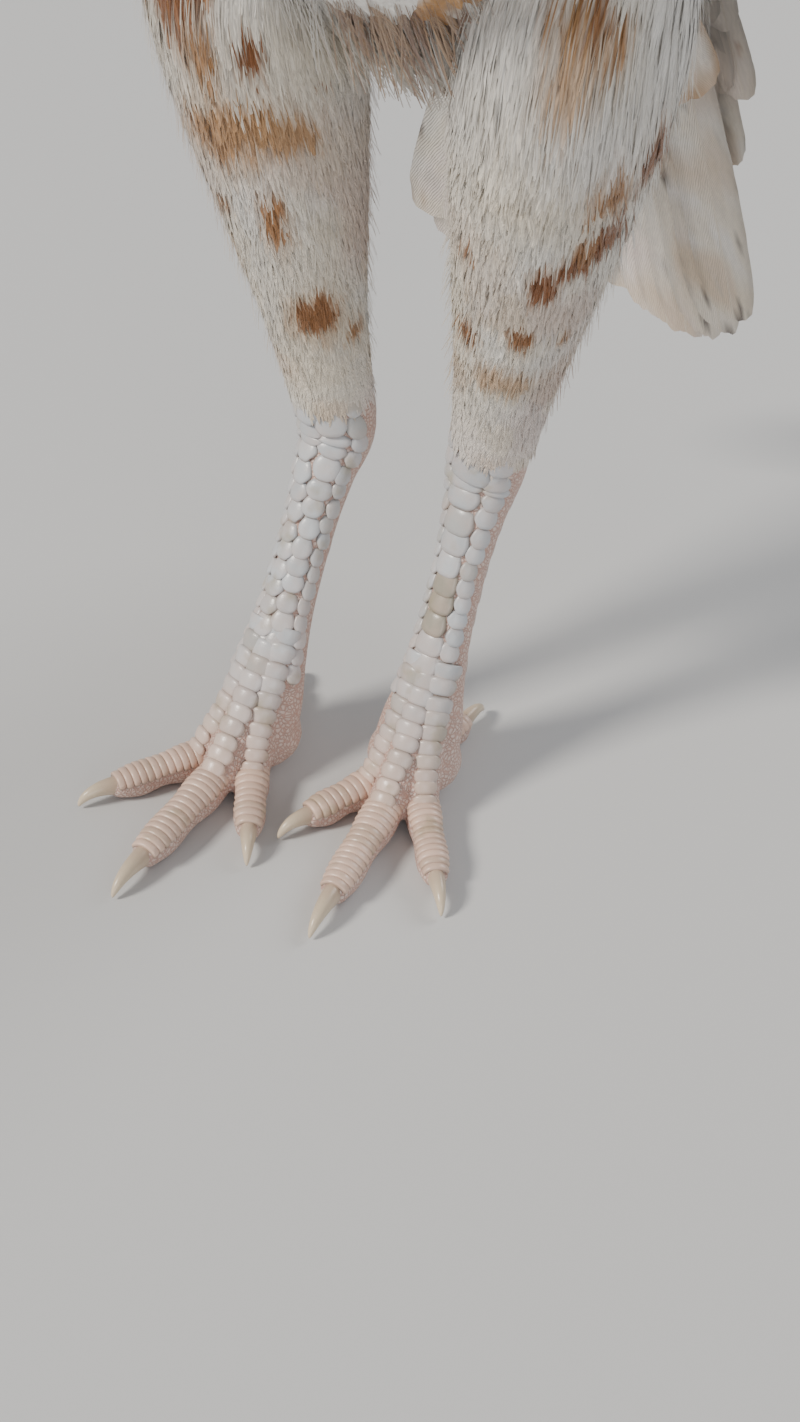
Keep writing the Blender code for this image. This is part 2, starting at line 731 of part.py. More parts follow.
def comb_lobes_dewlap(head, neck, upper_bill, looks):
    """A pea comb of three low rows, the ear lobes, and the fold of bare skin under the bill."""
    bare = looks["bare"]
    lumps = []
    for side, count, high in COMB:
        for k in range(count):
            forward = along(COMB_SPAN[0], COMB_SPAN[1], k / (count - 1))
            top = 0.0150 - 0.00022 * (forward * 1000 - 2) ** 2 / 10
            middle = head_point(forward, side, top + 0.0008)
            radii = (0.0038 if count > 3 else 0.0056, 0.0028, high)
            lumps.append(ellipsoid("lump", middle, HEAD_FORWARD, HEAD_UP, radii, bare, 6, 3))
    clear_of(fused("comb", lumps), head, upper_bill)
    for hand, name in ((-1, "ear_lobe_r"), (1, "ear_lobe_l")):
        middle = head_point(-0.0120, hand * 0.0172, -0.0095)
        lobe = ellipsoid(name, middle, HEAD_FORWARD, HEAD_UP, (0.0045, 0.0024, 0.0072), bare, 8, 5)
        clear_of(lobe, head, neck)
    middle = head_point(0.0158, 0.0, -0.0185)
    flap = ellipsoid("dewlap", middle, HEAD_FORWARD, HEAD_UP, (0.0120, 0.0026, 0.0088), bare, 8, 6)
    clear_of(flap, head, neck)


def main():
    for obj in list(bpy.data.objects):
        bpy.data.objects.remove(obj)
    looks = {
        "plumage": new_look("plumage", (0.78, 0.72, 0.64), 0.8),
        "face": new_look("face", (0.62, 0.16, 0.12), 0.6),
        "bare": new_look("bare", (0.60, 0.07, 0.06), 0.5),
        "horn": new_look("horn", (0.74, 0.60, 0.42), 0.35),
        "eye": new_look("eye", (0.72, 0.62, 0.42), 0.1),
        "scale": new_look("scale", (0.74, 0.68, 0.62), 0.45),
    }
    torso, neck = torso_and_neck(looks)
    head = skull(looks)
    eyes(head, looks)
    upper_bill = bill(head, looks)
    clear_of(neck, head)
    comb_lobes_dewlap(head, neck, upper_bill, looks)
    clear_of(tail(looks), torso)
    mirrored(wing(-1, "wing_r", looks), "wing_l")
    for hand, letter in ((-1, "r"), (1, "l")):
        foot_and_toes(hand, letter, looks)
        shank_and_thigh(hand, letter, torso, looks)
    for obj in bpy.data.objects:
        obj.data.transform(Matrix.Translation((0, CENTRE_Y, 0)))


main()
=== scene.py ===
"""The looks of a standing aseel hen: skin, plumage, scutes, horn, eyes, light and camera."""

import math
from bisect import bisect_right

import bpy
import numpy as np
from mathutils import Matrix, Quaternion, Vector


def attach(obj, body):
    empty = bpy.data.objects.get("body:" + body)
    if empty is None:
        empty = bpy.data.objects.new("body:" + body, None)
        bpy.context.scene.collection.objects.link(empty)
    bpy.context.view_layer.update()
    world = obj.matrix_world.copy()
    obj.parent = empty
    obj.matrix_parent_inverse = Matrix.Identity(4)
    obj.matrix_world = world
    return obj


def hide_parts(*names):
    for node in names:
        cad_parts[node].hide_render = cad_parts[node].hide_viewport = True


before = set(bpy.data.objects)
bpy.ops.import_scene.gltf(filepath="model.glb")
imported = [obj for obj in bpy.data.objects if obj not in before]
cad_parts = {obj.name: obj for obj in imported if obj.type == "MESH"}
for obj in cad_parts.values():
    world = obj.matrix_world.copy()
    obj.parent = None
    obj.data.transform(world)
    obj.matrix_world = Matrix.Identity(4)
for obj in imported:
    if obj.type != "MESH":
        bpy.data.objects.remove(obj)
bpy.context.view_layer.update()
RNG = np.random.default_rng(11)

# Sizes shared with the solids, in metres, in the solids' own numbers. CENTRE_Y moves them as the
# frame moves the solids.
CENTRE_Y = -0.0326
FOOT, STEP = (0.025, 0.000, 0.0125), -0.010
TOES_OUT = {1: math.radians(8), -1: math.radians(-2)}
HOCK, KNEE, HIP = (0.0245, 0.035, 0.108), (0.0465, 0.009, 0.250), (0.040, 0.034, 0.300)
# Leg: t, half width, back and front radius
LEG = (
    (0.00, 0.0148, 0.0118, 0.0120),
    (0.12, 0.0138, 0.0104, 0.0104),
    (0.25, 0.0110, 0.0092, 0.0088),
    (0.42, 0.0086, 0.0084, 0.0077),
    (0.68, 0.0080, 0.0086, 0.0077),
    (0.86, 0.0094, 0.0102, 0.0090),
    (1.00, 0.0118, 0.0126, 0.0108),
    (1.12, 0.0122, 0.0124, 0.0115),
    (1.30, 0.0156, 0.0155, 0.0150),
    (1.55, 0.0210, 0.0230, 0.0205),
    (1.80, 0.0256, 0.0305, 0.0268),
    (2.05, 0.0270, 0.0345, 0.0300),
    (2.50, 0.0250, 0.0330, 0.0300),
    (3.00, 0.0180, 0.0240, 0.0220),
)
# Toes: name, degrees outwards, length, half height at root and end, length of claw, scutes
TOES = (
    ("middle", 0, 0.060, 0.0071, 0.0054, 0.0175, 18),
    ("inner", -30, 0.038, 0.0066, 0.0050, 0.0130, 11),
    ("outer", 31, 0.046, 0.0065, 0.0049, 0.0140, 15),
    ("hallux", 168, 0.026, 0.0057, 0.0046, 0.0145, 7),
)
# Swellings along a toe: share of its length, times its half height
TOE_SWELLS = ((0.0, 1.05), (0.25, 0.93), (0.45, 1.0), (0.62, 0.90), (0.85, 0.98), (1.0, 0.80))
# Trunk and wing: t, y, z, half width, back and front radius
TRUNK = (
    (-0.30, 0.158, 0.172, 0.0140, 0.0120, 0.0140),
    (0.00, 0.116, 0.246, 0.0260, 0.0220, 0.0270),
    (0.08, 0.097, 0.264, 0.0390, 0.0290, 0.0490),
    (0.22, 0.062, 0.294, 0.0570, 0.0400, 0.0730),
    (0.38, 0.022, 0.330, 0.0700, 0.0470, 0.0820),
    (0.54, -0.016, 0.368, 0.0760, 0.0490, 0.0800),
    (0.66, -0.043, 0.401, 0.0740, 0.0460, 0.0720),
    (0.75, -0.060, 0.428, 0.0610, 0.0410, 0.0560),
    (0.82, -0.071, 0.454, 0.0440, 0.0350, 0.0410),
    (0.90, -0.078, 0.486, 0.0310, 0.0285, 0.0290),
    (0.96, -0.077, 0.516, 0.0215, 0.0215, 0.0200),
    (1.00, -0.074, 0.541, 0.0172, 0.0168, 0.0160),
    (1.04, -0.073, 0.560, 0.0122, 0.0120, 0.0120),
)
WING = (
    (-0.40, 0.205, 0.150, 0.0340, 0.0320, 0.0400),
    (-0.15, 0.151, 0.210, 0.0430, 0.0390, 0.0480),
    (0.00, 0.116, 0.246, 0.0510, 0.0430, 0.0560),
    (0.20, 0.067, 0.290, 0.0640, 0.0480, 0.0740),
    (0.38, 0.022, 0.330, 0.0745, 0.0510, 0.0860),
    (0.54, -0.016, 0.368, 0.0785, 0.0515, 0.0825),
    (0.66, -0.043, 0.401, 0.0765, 0.0485, 0.0745),
    (0.78, -0.065, 0.439, 0.0570, 0.0400, 0.0530),
)
# Shoulder pad: t, thickness, lower and upper edge in degrees
WING_PAD = (
    (0.330, 0.0125, -25, 60),
    (0.380, 0.0135, -26, 60),
    (0.460, 0.0145, -27, 58),
    (0.560, 0.0165, -28, 55),
    (0.650, 0.0165, -27, 51),
    (0.710, 0.0130, -21, 43),
    (0.740, 0.0090, -12, 32),
    (0.755, 0.0050, -2, 20),
)
# Flight feathers: t and degrees of the tip, width
FLIGHTS = (
    (0.02, 2, 0.018),
    (-0.04, 9, 0.019),
    (-0.09, 16, 0.019),
    (-0.12, 23, 0.020),
    (-0.13, 29, 0.020),
    (-0.08, 35, 0.024),
    (-0.06, 41, 0.024),
    (-0.03, 47, 0.024),
    (0.00, 52, 0.024),
    (0.02, 57, 0.023),
    (0.07, 62, 0.022),
    (0.12, 67, 0.021),
)
FLIGHT_ROOTS, FLIGHT_SLOPE = (0.40, -20, 55), 0.25
COVERT_LIFT = 0.0082
TAIL_ROOT, TAIL_DROOP = (0.107, 0.253), math.radians(68)
TAIL_RIDGE, TAIL_ROOF = 0.0100, math.radians(18)
TAIL_LENGTH, TAIL_WIDTH = 0.160, 0.029
RECTRICES, VANE_PITCH = 6, 0.0010
HEAD, HEAD_PITCH = (0.0, -0.079, 0.556), math.radians(10)
EYE_PLACE, EYE_RADIUS = (0.0025, 0.0108, 0.0030), 0.0064

SIDES = ((-1, "r"), (1, "l"))

# How deep the coat lies over the skin
COAT = 0.0024

# How far up the leg its bare skin and its plates reach
SHANK_SKIN_TOP, SHANK_PLATES_TOP = 1.17, 1.12

# How fine the remeshed skins are
BODY_VOXEL, LEG_VOXEL, HEAD_VOXEL, COMB_VOXEL = 0.0028, 0.0008, 0.0008, 0.0006

# Camera: its distance from the feet, turn towards the bird's left, height angle and roll, focal
# length and picture in pixels, and the feet's place in it
CAMERA_REACH = 0.605
CAMERA_TURN, CAMERA_RISE, CAMERA_ROLL = math.radians(30), math.radians(42), math.radians(5.7)
FOCAL_PIXELS, PICTURE, FEET_PIXEL = 1830, (800, 1422), (334, 735)


def unit(vectors):
    """The vectors at length one."""
    return vectors / np.linalg.norm(vectors, axis=-1, keepdims=True)


def circle(count):
    """Angles once round, in radians."""
    return np.linspace(0, math.tau, count, endpoint=False)


def ramp(values, low, high):
    """0 below low, 1 above high and smooth between them."""
    x = np.clip((values - low) / (high - low), 0, 1)
    return x * x * (3 - 2 * x)


def blend(a, b, share):
    """Colours from a, at share 0, to b, at share 1."""
    return a + (b - a) * np.asarray(share)[..., None]


def through(stations, t):
    """The values at t on a smooth curve through stations of (t, value, value, ...)."""
    last = len(stations) - 1
    i = min(max(bisect_right([s[0] for s in stations], t) - 1, 0), last - 1)
    a, b = stations[i], stations[i + 1]
    before, after = stations[max(i - 1, 0)], stations[min(i + 2, last)]
    span = b[0] - a[0]
    x = (t - a[0]) / span
    values = []
    for k in range(1, len(a)):
        leave = (b[k] - before[k]) / (b[0] - before[0]) * span
        arrive = (after[k] - a[k]) / (after[0] - a[0]) * span
        values.append(
            a[k] * (1 + 2 * x) * (1 - x) ** 2
            + leave * x * (1 - x) ** 2
            + b[k] * x * x * (3 - 2 * x)
            + arrive * x * x * (x - 1)
        )
    return values


class Tube:
    """A tube round a path, as in the solids, for many points at once.

    Its stations are (t, x, y, z, half width, back radius, front radius).
    """

    def __init__(self, stations, side=(1, 0, 0), samples=500):
        self.t = np.linspace(stations[0][0], stations[-1][0], samples)
        values = np.array([through(stations, t) for t in self.t])
        self.centre, self.radii = values[:, :3], values[:, 3:6]
        run = np.gradient(self.centre, self.t, axis=0)
        self.speed = np.linalg.norm(run, axis=1)
        heading = run / self.speed[:, None]
        side = np.array(side, float)
        self.side = unit(side - heading * (heading @ side)[:, None])
        self.back = np.cross(heading, self.side)

    def at(self, table, t):
        """The values of one of its tables at t."""
        if table.ndim == 1:
            return np.interp(t, self.t, table)
        return np.stack([np.interp(t, self.t, table[:, k]) for k in range(table.shape[1])], -1)

    def point(self, t, angle, lift=0.0):
        """Points on the skin, or lift above it. The angle runs from the side towards the back."""
        t, angle = np.broadcast_arrays(np.asarray(t, float), np.asarray(angle, float))
        width, rear, front = np.moveaxis(self.at(self.radii, t), -1, 0)
        cos, sin = np.cos(angle), np.sin(angle)
        depth = np.where(sin > 0, rear, front)
        side, back = self.at(self.side, t), self.at(self.back, t)
        out = unit(side * (cos / width)[..., None] + back * (sin / depth)[..., None])
        skin = side * (width * cos)[..., None] + back * (depth * sin)[..., None]
        return self.at(self.centre, t) + skin + out * np.broadcast_to(lift, t.shape)[..., None]

    def arc(self, t, angle):
        """How far the skin runs for each radian at these places."""
        width, rear, front = np.moveaxis(self.at(self.radii, t), -1, 0)
        depth = np.where(np.sin(angle) > 0, rear, front)
        return np.hypot(width * np.sin(angle), depth * np.cos(angle))

    def depth_of(self, points):
        """How deep points lie in the tube: 0 on its path, 1 on its skin."""
        stride = 5
        gaps = points[:, None, :] - self.centre[None, ::stride]
        near = np.argmin((gaps**2).sum(-1), 1)
        gap = np.take_along_axis(gaps, near[:, None, None], 1)[:, 0]
        near = near * stride
        across = (gap * self.side[near]).sum(-1)
        back = (gap * self.back[near]).sum(-1)
        radii = self.radii[near]
        deep = np.where(back > 0, radii[:, 1], radii[:, 2])
        return np.hypot(across / radii[:, 0], back / deep)


def sided(angle, hand):
    """An angle in degrees on the left (hand 1), in radians, or the one that mirrors it."""
    return np.radians(angle if hand > 0 else 180 - np.asarray(angle))


def shifted(point):
    """A place in the solids' own numbers, moved as they are."""
    return np.array(point, float) + np.array((0.0, CENTRE_Y, 0.0))


def leg_tube(hand):
    """From the foot (t 0) over the hock (1) and the knee (2) to the hip (3)."""
    places = []
    for joint, share in ((FOOT, 1.0), (HOCK, 0.4), (KNEE, 0.1), (HIP, 0.0)):
        places.append(shifted((hand * joint[0], joint[1] - share * hand * STEP, joint[2])))
    stations = []
    for t, width, back, front in LEG:
        i = min(int(t), 2)
        place = places[i] + (places[i + 1] - places[i]) * (t - i)
        stations.append((t, *place, width, back, front))
    return Tube(stations)


def toe_tube(hand, toe):
    """A toe along the floor, and the way that it points."""
    turn, length, wide, narrow = toe[1:5]
    angle = hand * (math.radians(turn) + TOES_OUT[hand])
    ahead = np.array((math.sin(angle), -math.cos(angle), 0.0))
    start = LEGS[hand].centre[0] * np.array((1, 1, 0)) + ahead * 0.004
    stations = []
    for share, swell in TOE_SWELLS:
        middle = wide + (narrow - wide) * share
        place = start + ahead * (length * share) + np.array((0, 0, middle * 0.86))
        radius = middle * swell
        stations.append((share, *place, radius, radius * 0.92, radius * 0.98))
    return Tube(stations, side=(math.cos(angle), math.sin(angle), 0.0), samples=200), ahead


def body_tube(stations):
    return Tube([(t, *shifted((0, y, z)), *radii) for t, y, z, *radii in stations])


TRUNK_TUBE, WING_TUBE = body_tube(TRUNK), body_tube(WING)
LEGS = {hand: leg_tube(hand) for hand in (-1, 1)}
TAIL_AXIS = np.array((0, math.cos(TAIL_DROOP), -math.sin(TAIL_DROOP)))
TAIL_OVER = np.array((0, math.sin(TAIL_DROOP), math.cos(TAIL_DROOP)))
TAIL_START = shifted((0, *TAIL_ROOT))


def head_point(forward, side, up):
    """Points given from the head's middle, along the bill, to the bird's left and up."""
    y = -forward * math.cos(HEAD_PITCH) - up * math.sin(HEAD_PITCH)
    z = -forward * math.sin(HEAD_PITCH) + up * math.cos(HEAD_PITCH)
    return shifted(HEAD) + np.stack(np.broadcast_arrays(side, y, z), -1)


# Colours and markings

WHITE = np.array((0.86, 0.83, 0.78))
CREAM = np.array((0.78, 0.69, 0.55))
RUST = np.array((0.25, 0.090, 0.026))
TAN = np.array((0.50, 0.275, 0.115))
GREY = np.array((0.46, 0.43, 0.40))
BLUSH = np.array((0.78, 0.67, 0.62))
DOWN = np.array((0.30, 0.26, 0.22))

LATTICE_SIZE = 24
LATTICE = RNG.random((4, LATTICE_SIZE, LATTICE_SIZE, LATTICE_SIZE))


def noise(points, size, layer=0):
    """Smooth noise from 0 to 1, with lumps about size across."""
    places = points / size + 100.0
    low = np.floor(places).astype(int)
    part = places - low
    part = part * part * (3 - 2 * part)
    total = 0.0
    for corner in range(8):
        step = np.array([(corner >> k) & 1 for k in range(3)])
        weight = np.prod(np.where(step, part, 1 - part), -1)
        i, j, k = np.moveaxis((low + step) % LATTICE_SIZE, -1, 0)
        total = total + weight * LATTICE[layer, i, j, k]
    return total


# Patches on the thighs: which leg, place along it, angle on the left one, half width and half
# length, how dark
PATCHES = (
    (-1, 1.94, -96, 0.0042, 0.0075, 0.60),
    (-1, 1.78, -102, 0.0125, 0.0078, 0.52),
    (-1, 1.76, -138, 0.0070, 0.0056, 0.45),
    (-1, 1.58, -111, 0.0033, 0.0092, 0.75),
    (-1, 1.61, -72, 0.0030, 0.0030, 0.70),
    (-1, 1.35, -129, 0.0060, 0.0062, 0.85),
    (-1, 1.28, -171, 0.0030, 0.0026, 0.60),
    (-1, 1.50, 60, 0.0060, 0.0080, 0.70),
    (-1, 1.85, 20, 0.0080, 0.0070, 0.50),
    (1, 2.15, -69, 0.0044, 0.0033, 0.45),
    (1, 2.13, -45, 0.0036, 0.0040, 0.60),
    (1, 1.88, -30, 0.0048, 0.0053, 0.65),
    (1, 1.74, -36, 0.0028, 0.0050, 0.75),
    (1, 1.65, -57, 0.0036, 0.0063, 1.00),
    (1, 1.67, -111, 0.0022, 0.0034, 0.85),
    (1, 1.46, -111, 0.0028, 0.0046, 0.85),
    (1, 1.50, -63, 0.0030, 0.0037, 0.85),
    (1, 1.50, -27, 0.0020, 0.0022, 0.75),
    (1, 1.37, -75, 0.0070, 0.0040, 0.05),
    (1, 2.06, -63, 0.0054, 0.0067, 0.20),
    (1, 1.80, 40, 0.0070, 0.0080, 0.65),
    (1, 1.45, 95, 0.0050, 0.0060, 0.70),
)
BODY = shifted((0.0, -0.010, 0.36))  # The middle of the back, for the markings


def markings(points):
    """The plumage's colour: white with rust-brown patches, most of them on the back and wings."""
    below = ramp(-points[..., 2], -0.26, -0.16)
    outer = ramp(np.abs(points[..., 0]), 0.03, 0.07)
    top = ramp(points[..., 1] + points[..., 2] - BODY[1] - BODY[2], -0.05, 0.08)
    lumps = 0.60 * noise(points, 0.026) + 0.40 * noise(points, 0.010, 1)
    edge = 0.68 - 0.10 * np.maximum(top, 0.8 * outer) + 0.20 * below
    rust = ramp(lumps, edge, edge + 0.045)
    colour = blend(WHITE, CREAM, 0.9 * noise(points, 0.022, 2) ** 2)
    colour = blend(colour, BLUSH, 0.9 * below * ramp(noise(points, 0.030), 0.45, 0.75))
    # Cream dapple on the lower body: partly cream tone, partly painted shade between clumps of
    # feathers
    colour = blend(colour, CREAM, 0.55 * below * ramp(noise(points, 0.0085, 2), 0.46, 0.60))
    haze = 0.34 * below * ramp(noise(points, 0.017, 3), 0.50, 0.70)
    tone = blend(RUST, TAN, ramp(noise(points, 0.014, 3), 0.25, 0.80))
    ragged = 0.8 * (noise(points, 0.004, 1) - 0.5) + 0.4 * (noise(points, 0.0018, 2) - 0.5)
    for hand, t, angle, wide, long, dark in PATCHES:
        leg = LEGS[hand]
        gap = points - leg.point(t, sided(angle, hand))
        run = gap @ (leg.at(leg.centre, t + 0.02) - leg.at(leg.centre, t - 0.02)) / 0.04
        run = run / float(leg.at(leg.speed, t))
        off = np.sqrt(np.clip((gap**2).sum(-1) - run**2, 0, None))
        reach = np.hypot(run / long, off / wide) + ragged
        rust = np.maximum(rust, min(1.0, 0.40 + dark) * ramp(-reach, -1.30, -0.80))
        light = TAN + (RUST - TAN) * max(0.0, dark - 0.35) / 0.65
        tone = blend(tone, light, ramp(-reach, -1.5, -1.2))
        haze = np.maximum(haze, 0.42 * ramp(-reach, -2.1, -1.1))
    colour = blend(colour, TAN, haze)
    colour = blend(colour, GREY, ramp(noise(points, 0.0045, 1), 0.80, 0.86) * 0.4)
    return blend(colour, tone, rust)


# Materials


def feed(tree, socket, value):
    """Link a socket to another node's output, or set its value."""
    if isinstance(value, bpy.types.NodeSocket):
        tree.links.new(value, socket)
    else:
        socket.default_value = value


def node(tree, kind, inputs=(), **settings):
    """A new node with these settings, its inputs fed by name or number."""
    made = tree.nodes.new(kind)
    for key, value in settings.items():
        setattr(made, key, value)
    for socket, value in dict(inputs).items():
        feed(tree, made.inputs[socket], value)
    return made


def mixed(tree, factor, a, b, way="MIX"):
    """Two colours mixed."""
    inputs = {0: factor, 6: a, 7: b}
    return node(tree, "ShaderNodeMix", inputs, data_type="RGBA", blend_type=way).outputs[2]


def maths(tree, operation, a, b=0.0, c=0.0):
    """An operation on up to three values."""
    return node(tree, "ShaderNodeMath", {0: a, 1: b, 2: c}, operation=operation).outputs[0]


def mapped(tree, value, low, high, start, end):
    """A value's range from low to high, stretched over start to end."""
    inputs = {0: value, 1: low, 2: high, 3: start, 4: end}
    return node(tree, "ShaderNodeMapRange", inputs).outputs[0]


def placed(tree):
    return node(tree, "ShaderNodeTexCoord").outputs["Object"]


def painted(tree, output="Color"):
    """The colour that a piece's points carry."""
    return node(tree, "ShaderNodeAttribute", attribute_name="tint").outputs[output]


def clouds(tree, scale, detail, output=0):
    """Noise, as a value (output 0) or as a colour (1)."""
    inputs = {"Vector": placed(tree), "Scale": scale, "Detail": detail}
    return node(tree, "ShaderNodeTexNoise", inputs).outputs[output]


def cells(tree, places, scale, **settings):
    """How far places are from the middles, or as set from the edges, of small cells."""
    inputs = {"Vector": places, "Scale": scale}
    return node(tree, "ShaderNodeTexVoronoi", inputs, **settings).outputs[0]


def dimmed(tree, colour, shade):
    """A colour times a shade of grey."""
    grey = node(tree, "ShaderNodeCombineXYZ", {0: shade, 1: shade, 2: shade}).outputs[0]
    return mixed(tree, 1.0, colour, grey, "MULTIPLY")


class Look:
    """A material under way: its node tree and its shader."""

    def __init__(self, name, roughness, **sockets):
        self.material = bpy.data.materials.new(name)
        self.material.use_nodes = True
        self.tree = self.material.node_tree
        self.shader = self.tree.nodes["Principled BSDF"]
        self.shader.inputs["Roughness"].default_value = roughness
        for socket, value in sockets.items():
            self.shader.inputs[socket.replace("_", " ")].default_value = value

    def finish(self, colour, height=None, strength=0.0, distance=0.0):
        """The material with its colour and, where there is a height, a bump."""
        feed(self.tree, self.shader.inputs["Base Color"], colour)
        if height is not None:
            inputs = {"Height": height, "Strength": strength, "Distance": distance}
            bump = node(self.tree, "ShaderNodeBump", inputs)
            feed(self.tree, self.shader.inputs["Normal"], bump.outputs[0])
        return self.material


def feather_material(name, barbs, depth, shine, roughness=0.62):
    """Plumage: the painted tint, crossed by fine slanting barbs either side of a shaft."""
    look = Look(name, roughness, Sheen_Weight=0.3, Sheen_Roughness=0.4)
    tree = look.tree
    vane = node(tree, "ShaderNodeUVMap", uv_map="vane").outputs[0]
    across, along = node(tree, "ShaderNodeSeparateXYZ", {0: vane}).outputs[:2]
    side = maths(tree, "ABSOLUTE", maths(tree, "SUBTRACT", across, 0.5))
    lie = maths(tree, "SUBTRACT", along, maths(tree, "MULTIPLY", side, 0.55))
    wander = clouds(tree, 260.0, 2.0)
    drift = maths(tree, "MULTIPLY", wander, 9.0)
    wave = maths(tree, "SINE", maths(tree, "MULTIPLY_ADD", lie, barbs, drift))
    shaft = maths(tree, "LESS_THAN", side, 0.018)
    drift = maths(tree, "MULTIPLY", wander, 14.0)
    strands = maths(tree, "SINE", maths(tree, "MULTIPLY_ADD", across, 44.0, drift))
    shade = maths(tree, "MULTIPLY_ADD", wave, 0.05, 0.95)
    shade = maths(tree, "MULTIPLY_ADD", strands, 0.035, shade)
    colour = dimmed(tree, painted(tree), shade)
    colour = mixed(tree, maths(tree, "MULTIPLY", shaft, shine), colour, (0.78, 0.70, 0.58, 1))
    height = maths(tree, "ADD", wave, maths(tree, "MULTIPLY", shaft, 2.0))
    return look.finish(colour, height, 0.5, depth)


def skin_material():
    """Skin under the plumage, in the same colours, a little darker as painted shade, seen only
    between feathers.
    """
    look = Look("under_skin", 0.8)
    tree = look.tree
    fuzz = clouds(tree, 900.0, 4.0)
    # Painted shade: the plumage colours dimmed for the gaps between feathers, mottled by fine noise
    shade = maths(tree, "MULTIPLY_ADD", fuzz, 0.3, 0.72)
    return look.finish(dimmed(tree, painted(tree), shade), fuzz, 0.4, 0.0005)


def leg_material():
    """Small-scaled leg skin: pink between fine raised grains."""
    look = Look("leg_skin", 0.5, Specular_IOR_Level=0.45)
    tree = look.tree
    bent = mixed(tree, 0.0035, placed(tree), clouds(tree, 180.0, 2.0, 1))
    edges = cells(tree, bent, 720.0, feature="DISTANCE_TO_EDGE")
    grain = mapped(tree, edges, 0.02, 0.22, 0.0, 1.0)
    flush = mixed(tree, clouds(tree, 70.0, 4.0), (0.68, 0.49, 0.42, 1), (0.74, 0.63, 0.57, 1))
    return look.finish(mixed(tree, grain, (0.54, 0.33, 0.27, 1), flush), grain, 0.7, 0.0004)


def scute_material():
    """Pearly scutes, here and there worn pink or stained olive-brown."""
    look = Look("scute", 0.32, Specular_IOR_Level=0.6, Coat_Weight=0.25, Coat_Roughness=0.22)
    tree = look.tree
    cloud = clouds(tree, 160.0, 5.0)
    wear = mapped(tree, cloud, 0.40, 0.66, 0.0, 0.30)
    stain = mapped(tree, clouds(tree, 95.0, 3.0), 0.56, 0.68, 0.0, 0.50)
    colour = mixed(tree, wear, painted(tree), (0.66, 0.48, 0.40, 1))
    colour = mixed(tree, stain, colour, (0.36, 0.30, 0.19, 1))
    feed(tree, look.shader.inputs["Roughness"], mapped(tree, cloud, 0.0, 1.0, 0.24, 0.48))
    return look.finish(colour, clouds(tree, 1400.0, 3.0), 0.25, 0.0003)


def horn_material():
    """Ivory horn of claws and bill, with fine lengthwise streaks."""
    look = Look("horn", 0.3, Specular_IOR_Level=0.5, Coat_Weight=0.2, Coat_Roughness=0.2)
    tree = look.tree
    streak = clouds(tree, 420.0, 4.0)
    share = maths(tree, "MULTIPLY", streak, 0.30)
    colour = mixed(tree, share, painted(tree), (0.45, 0.30, 0.20, 1))
    return look.finish(colour, streak, 0.3, 0.0003)


def bare_material(name, light, dark, scale):
    """Red bare skin with small grains, pale where a piece is marked as feathered."""
    look = Look(name, 0.48, Specular_IOR_Level=0.5)
    tree = look.tree
    grain = cells(tree, placed(tree), scale)
    cloud = maths(tree, "MULTIPLY", clouds(tree, 110.0, 4.0), 0.6)
    bare = mixed(tree, maths(tree, "MULTIPLY_ADD", grain, 0.5, cloud), dark, light)
    colour = mixed(tree, painted(tree, "Fac"), bare, (*WHITE, 1))
    return look.finish(colour, grain, 0.6, 0.0006)


def eye_material():
    """A pearl iris round a black pupil, under a wet cornea."""
    look = Look("eye", 0.06, Coat_Weight=1.0, Coat_Roughness=0.03)
    tree = look.tree
    shade = maths(tree, "MULTIPLY_ADD", clouds(tree, 1500.0, 3.0), 0.5, 0.72)
    return look.finish(dimmed(tree, painted(tree), shade))


LOOKS = {
    "down": feather_material("feather_small", 38.0, 0.00025, 0.12),
    "vane": feather_material("feather_large", 330.0, 0.00018, 0.5, 0.5),
    "skin": skin_material(),
    "leg": leg_material(),
    "scute": scute_material(),
    "horn": horn_material(),
    "face": bare_material("face_skin", (0.56, 0.17, 0.13, 1), (0.34, 0.05, 0.04, 1), 650.0),
    "comb": bare_material("comb_skin", (0.50, 0.055, 0.045, 1), (0.27, 0.012, 0.012, 1), 900.0),
    "eye": eye_material(),
}


# Meshes


def turned_out(points, faces, normals):
    """The faces, turned over if they face against the normals."""
    a, b, d = (points[faces[:, k]] for k in (0, 1, 3))
    facing = (np.cross(b - a, d - a) * normals[faces[:, 0]]).sum(1).mean()
    return faces if facing > 0 else faces[:, ::-1]


def linked(name, data):
    """A new object in the scene."""
    obj = bpy.data.objects.new(name, data)
    bpy.context.scene.collection.objects.link(obj)
    return obj


def new_mesh(name, points, faces, look, slot, tint=None, maps=(), normals=None):
    """A piece from arrays, with per-point colours, UV maps and normals, riding on the bird."""
    if normals is not None:
        faces = turned_out(points, faces, normals)
    mesh = bpy.data.meshes.new(name)
    mesh.vertices.add(len(points))
    mesh.vertices.foreach_set("co", np.ascontiguousarray(points, np.float32).ravel())
    loops = np.ascontiguousarray(faces, np.int32).ravel()
    mesh.loops.add(len(loops))
    mesh.loops.foreach_set("vertex_index", loops)
    mesh.polygons.add(len(faces))
    starts = np.arange(0, len(loops), faces.shape[1], dtype=np.int32)
    mesh.polygons.foreach_set("loop_start", starts)
    mesh.update(calc_edges=True)
    for title, places in dict(maps).items():
        layer = mesh.uv_layers.new(name=title)
        layer.data.foreach_set("uv", np.ascontiguousarray(places[loops], np.float32).ravel())
    mesh.materials.append(LOOKS[look])
    mesh.shade_smooth()
    if normals is not None:
        mesh.normals_split_custom_set_from_vertices(normals)
    obj = linked(name, mesh)
    if tint is not None:
        paint(obj, tint)
    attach(obj, "root")
    return obj


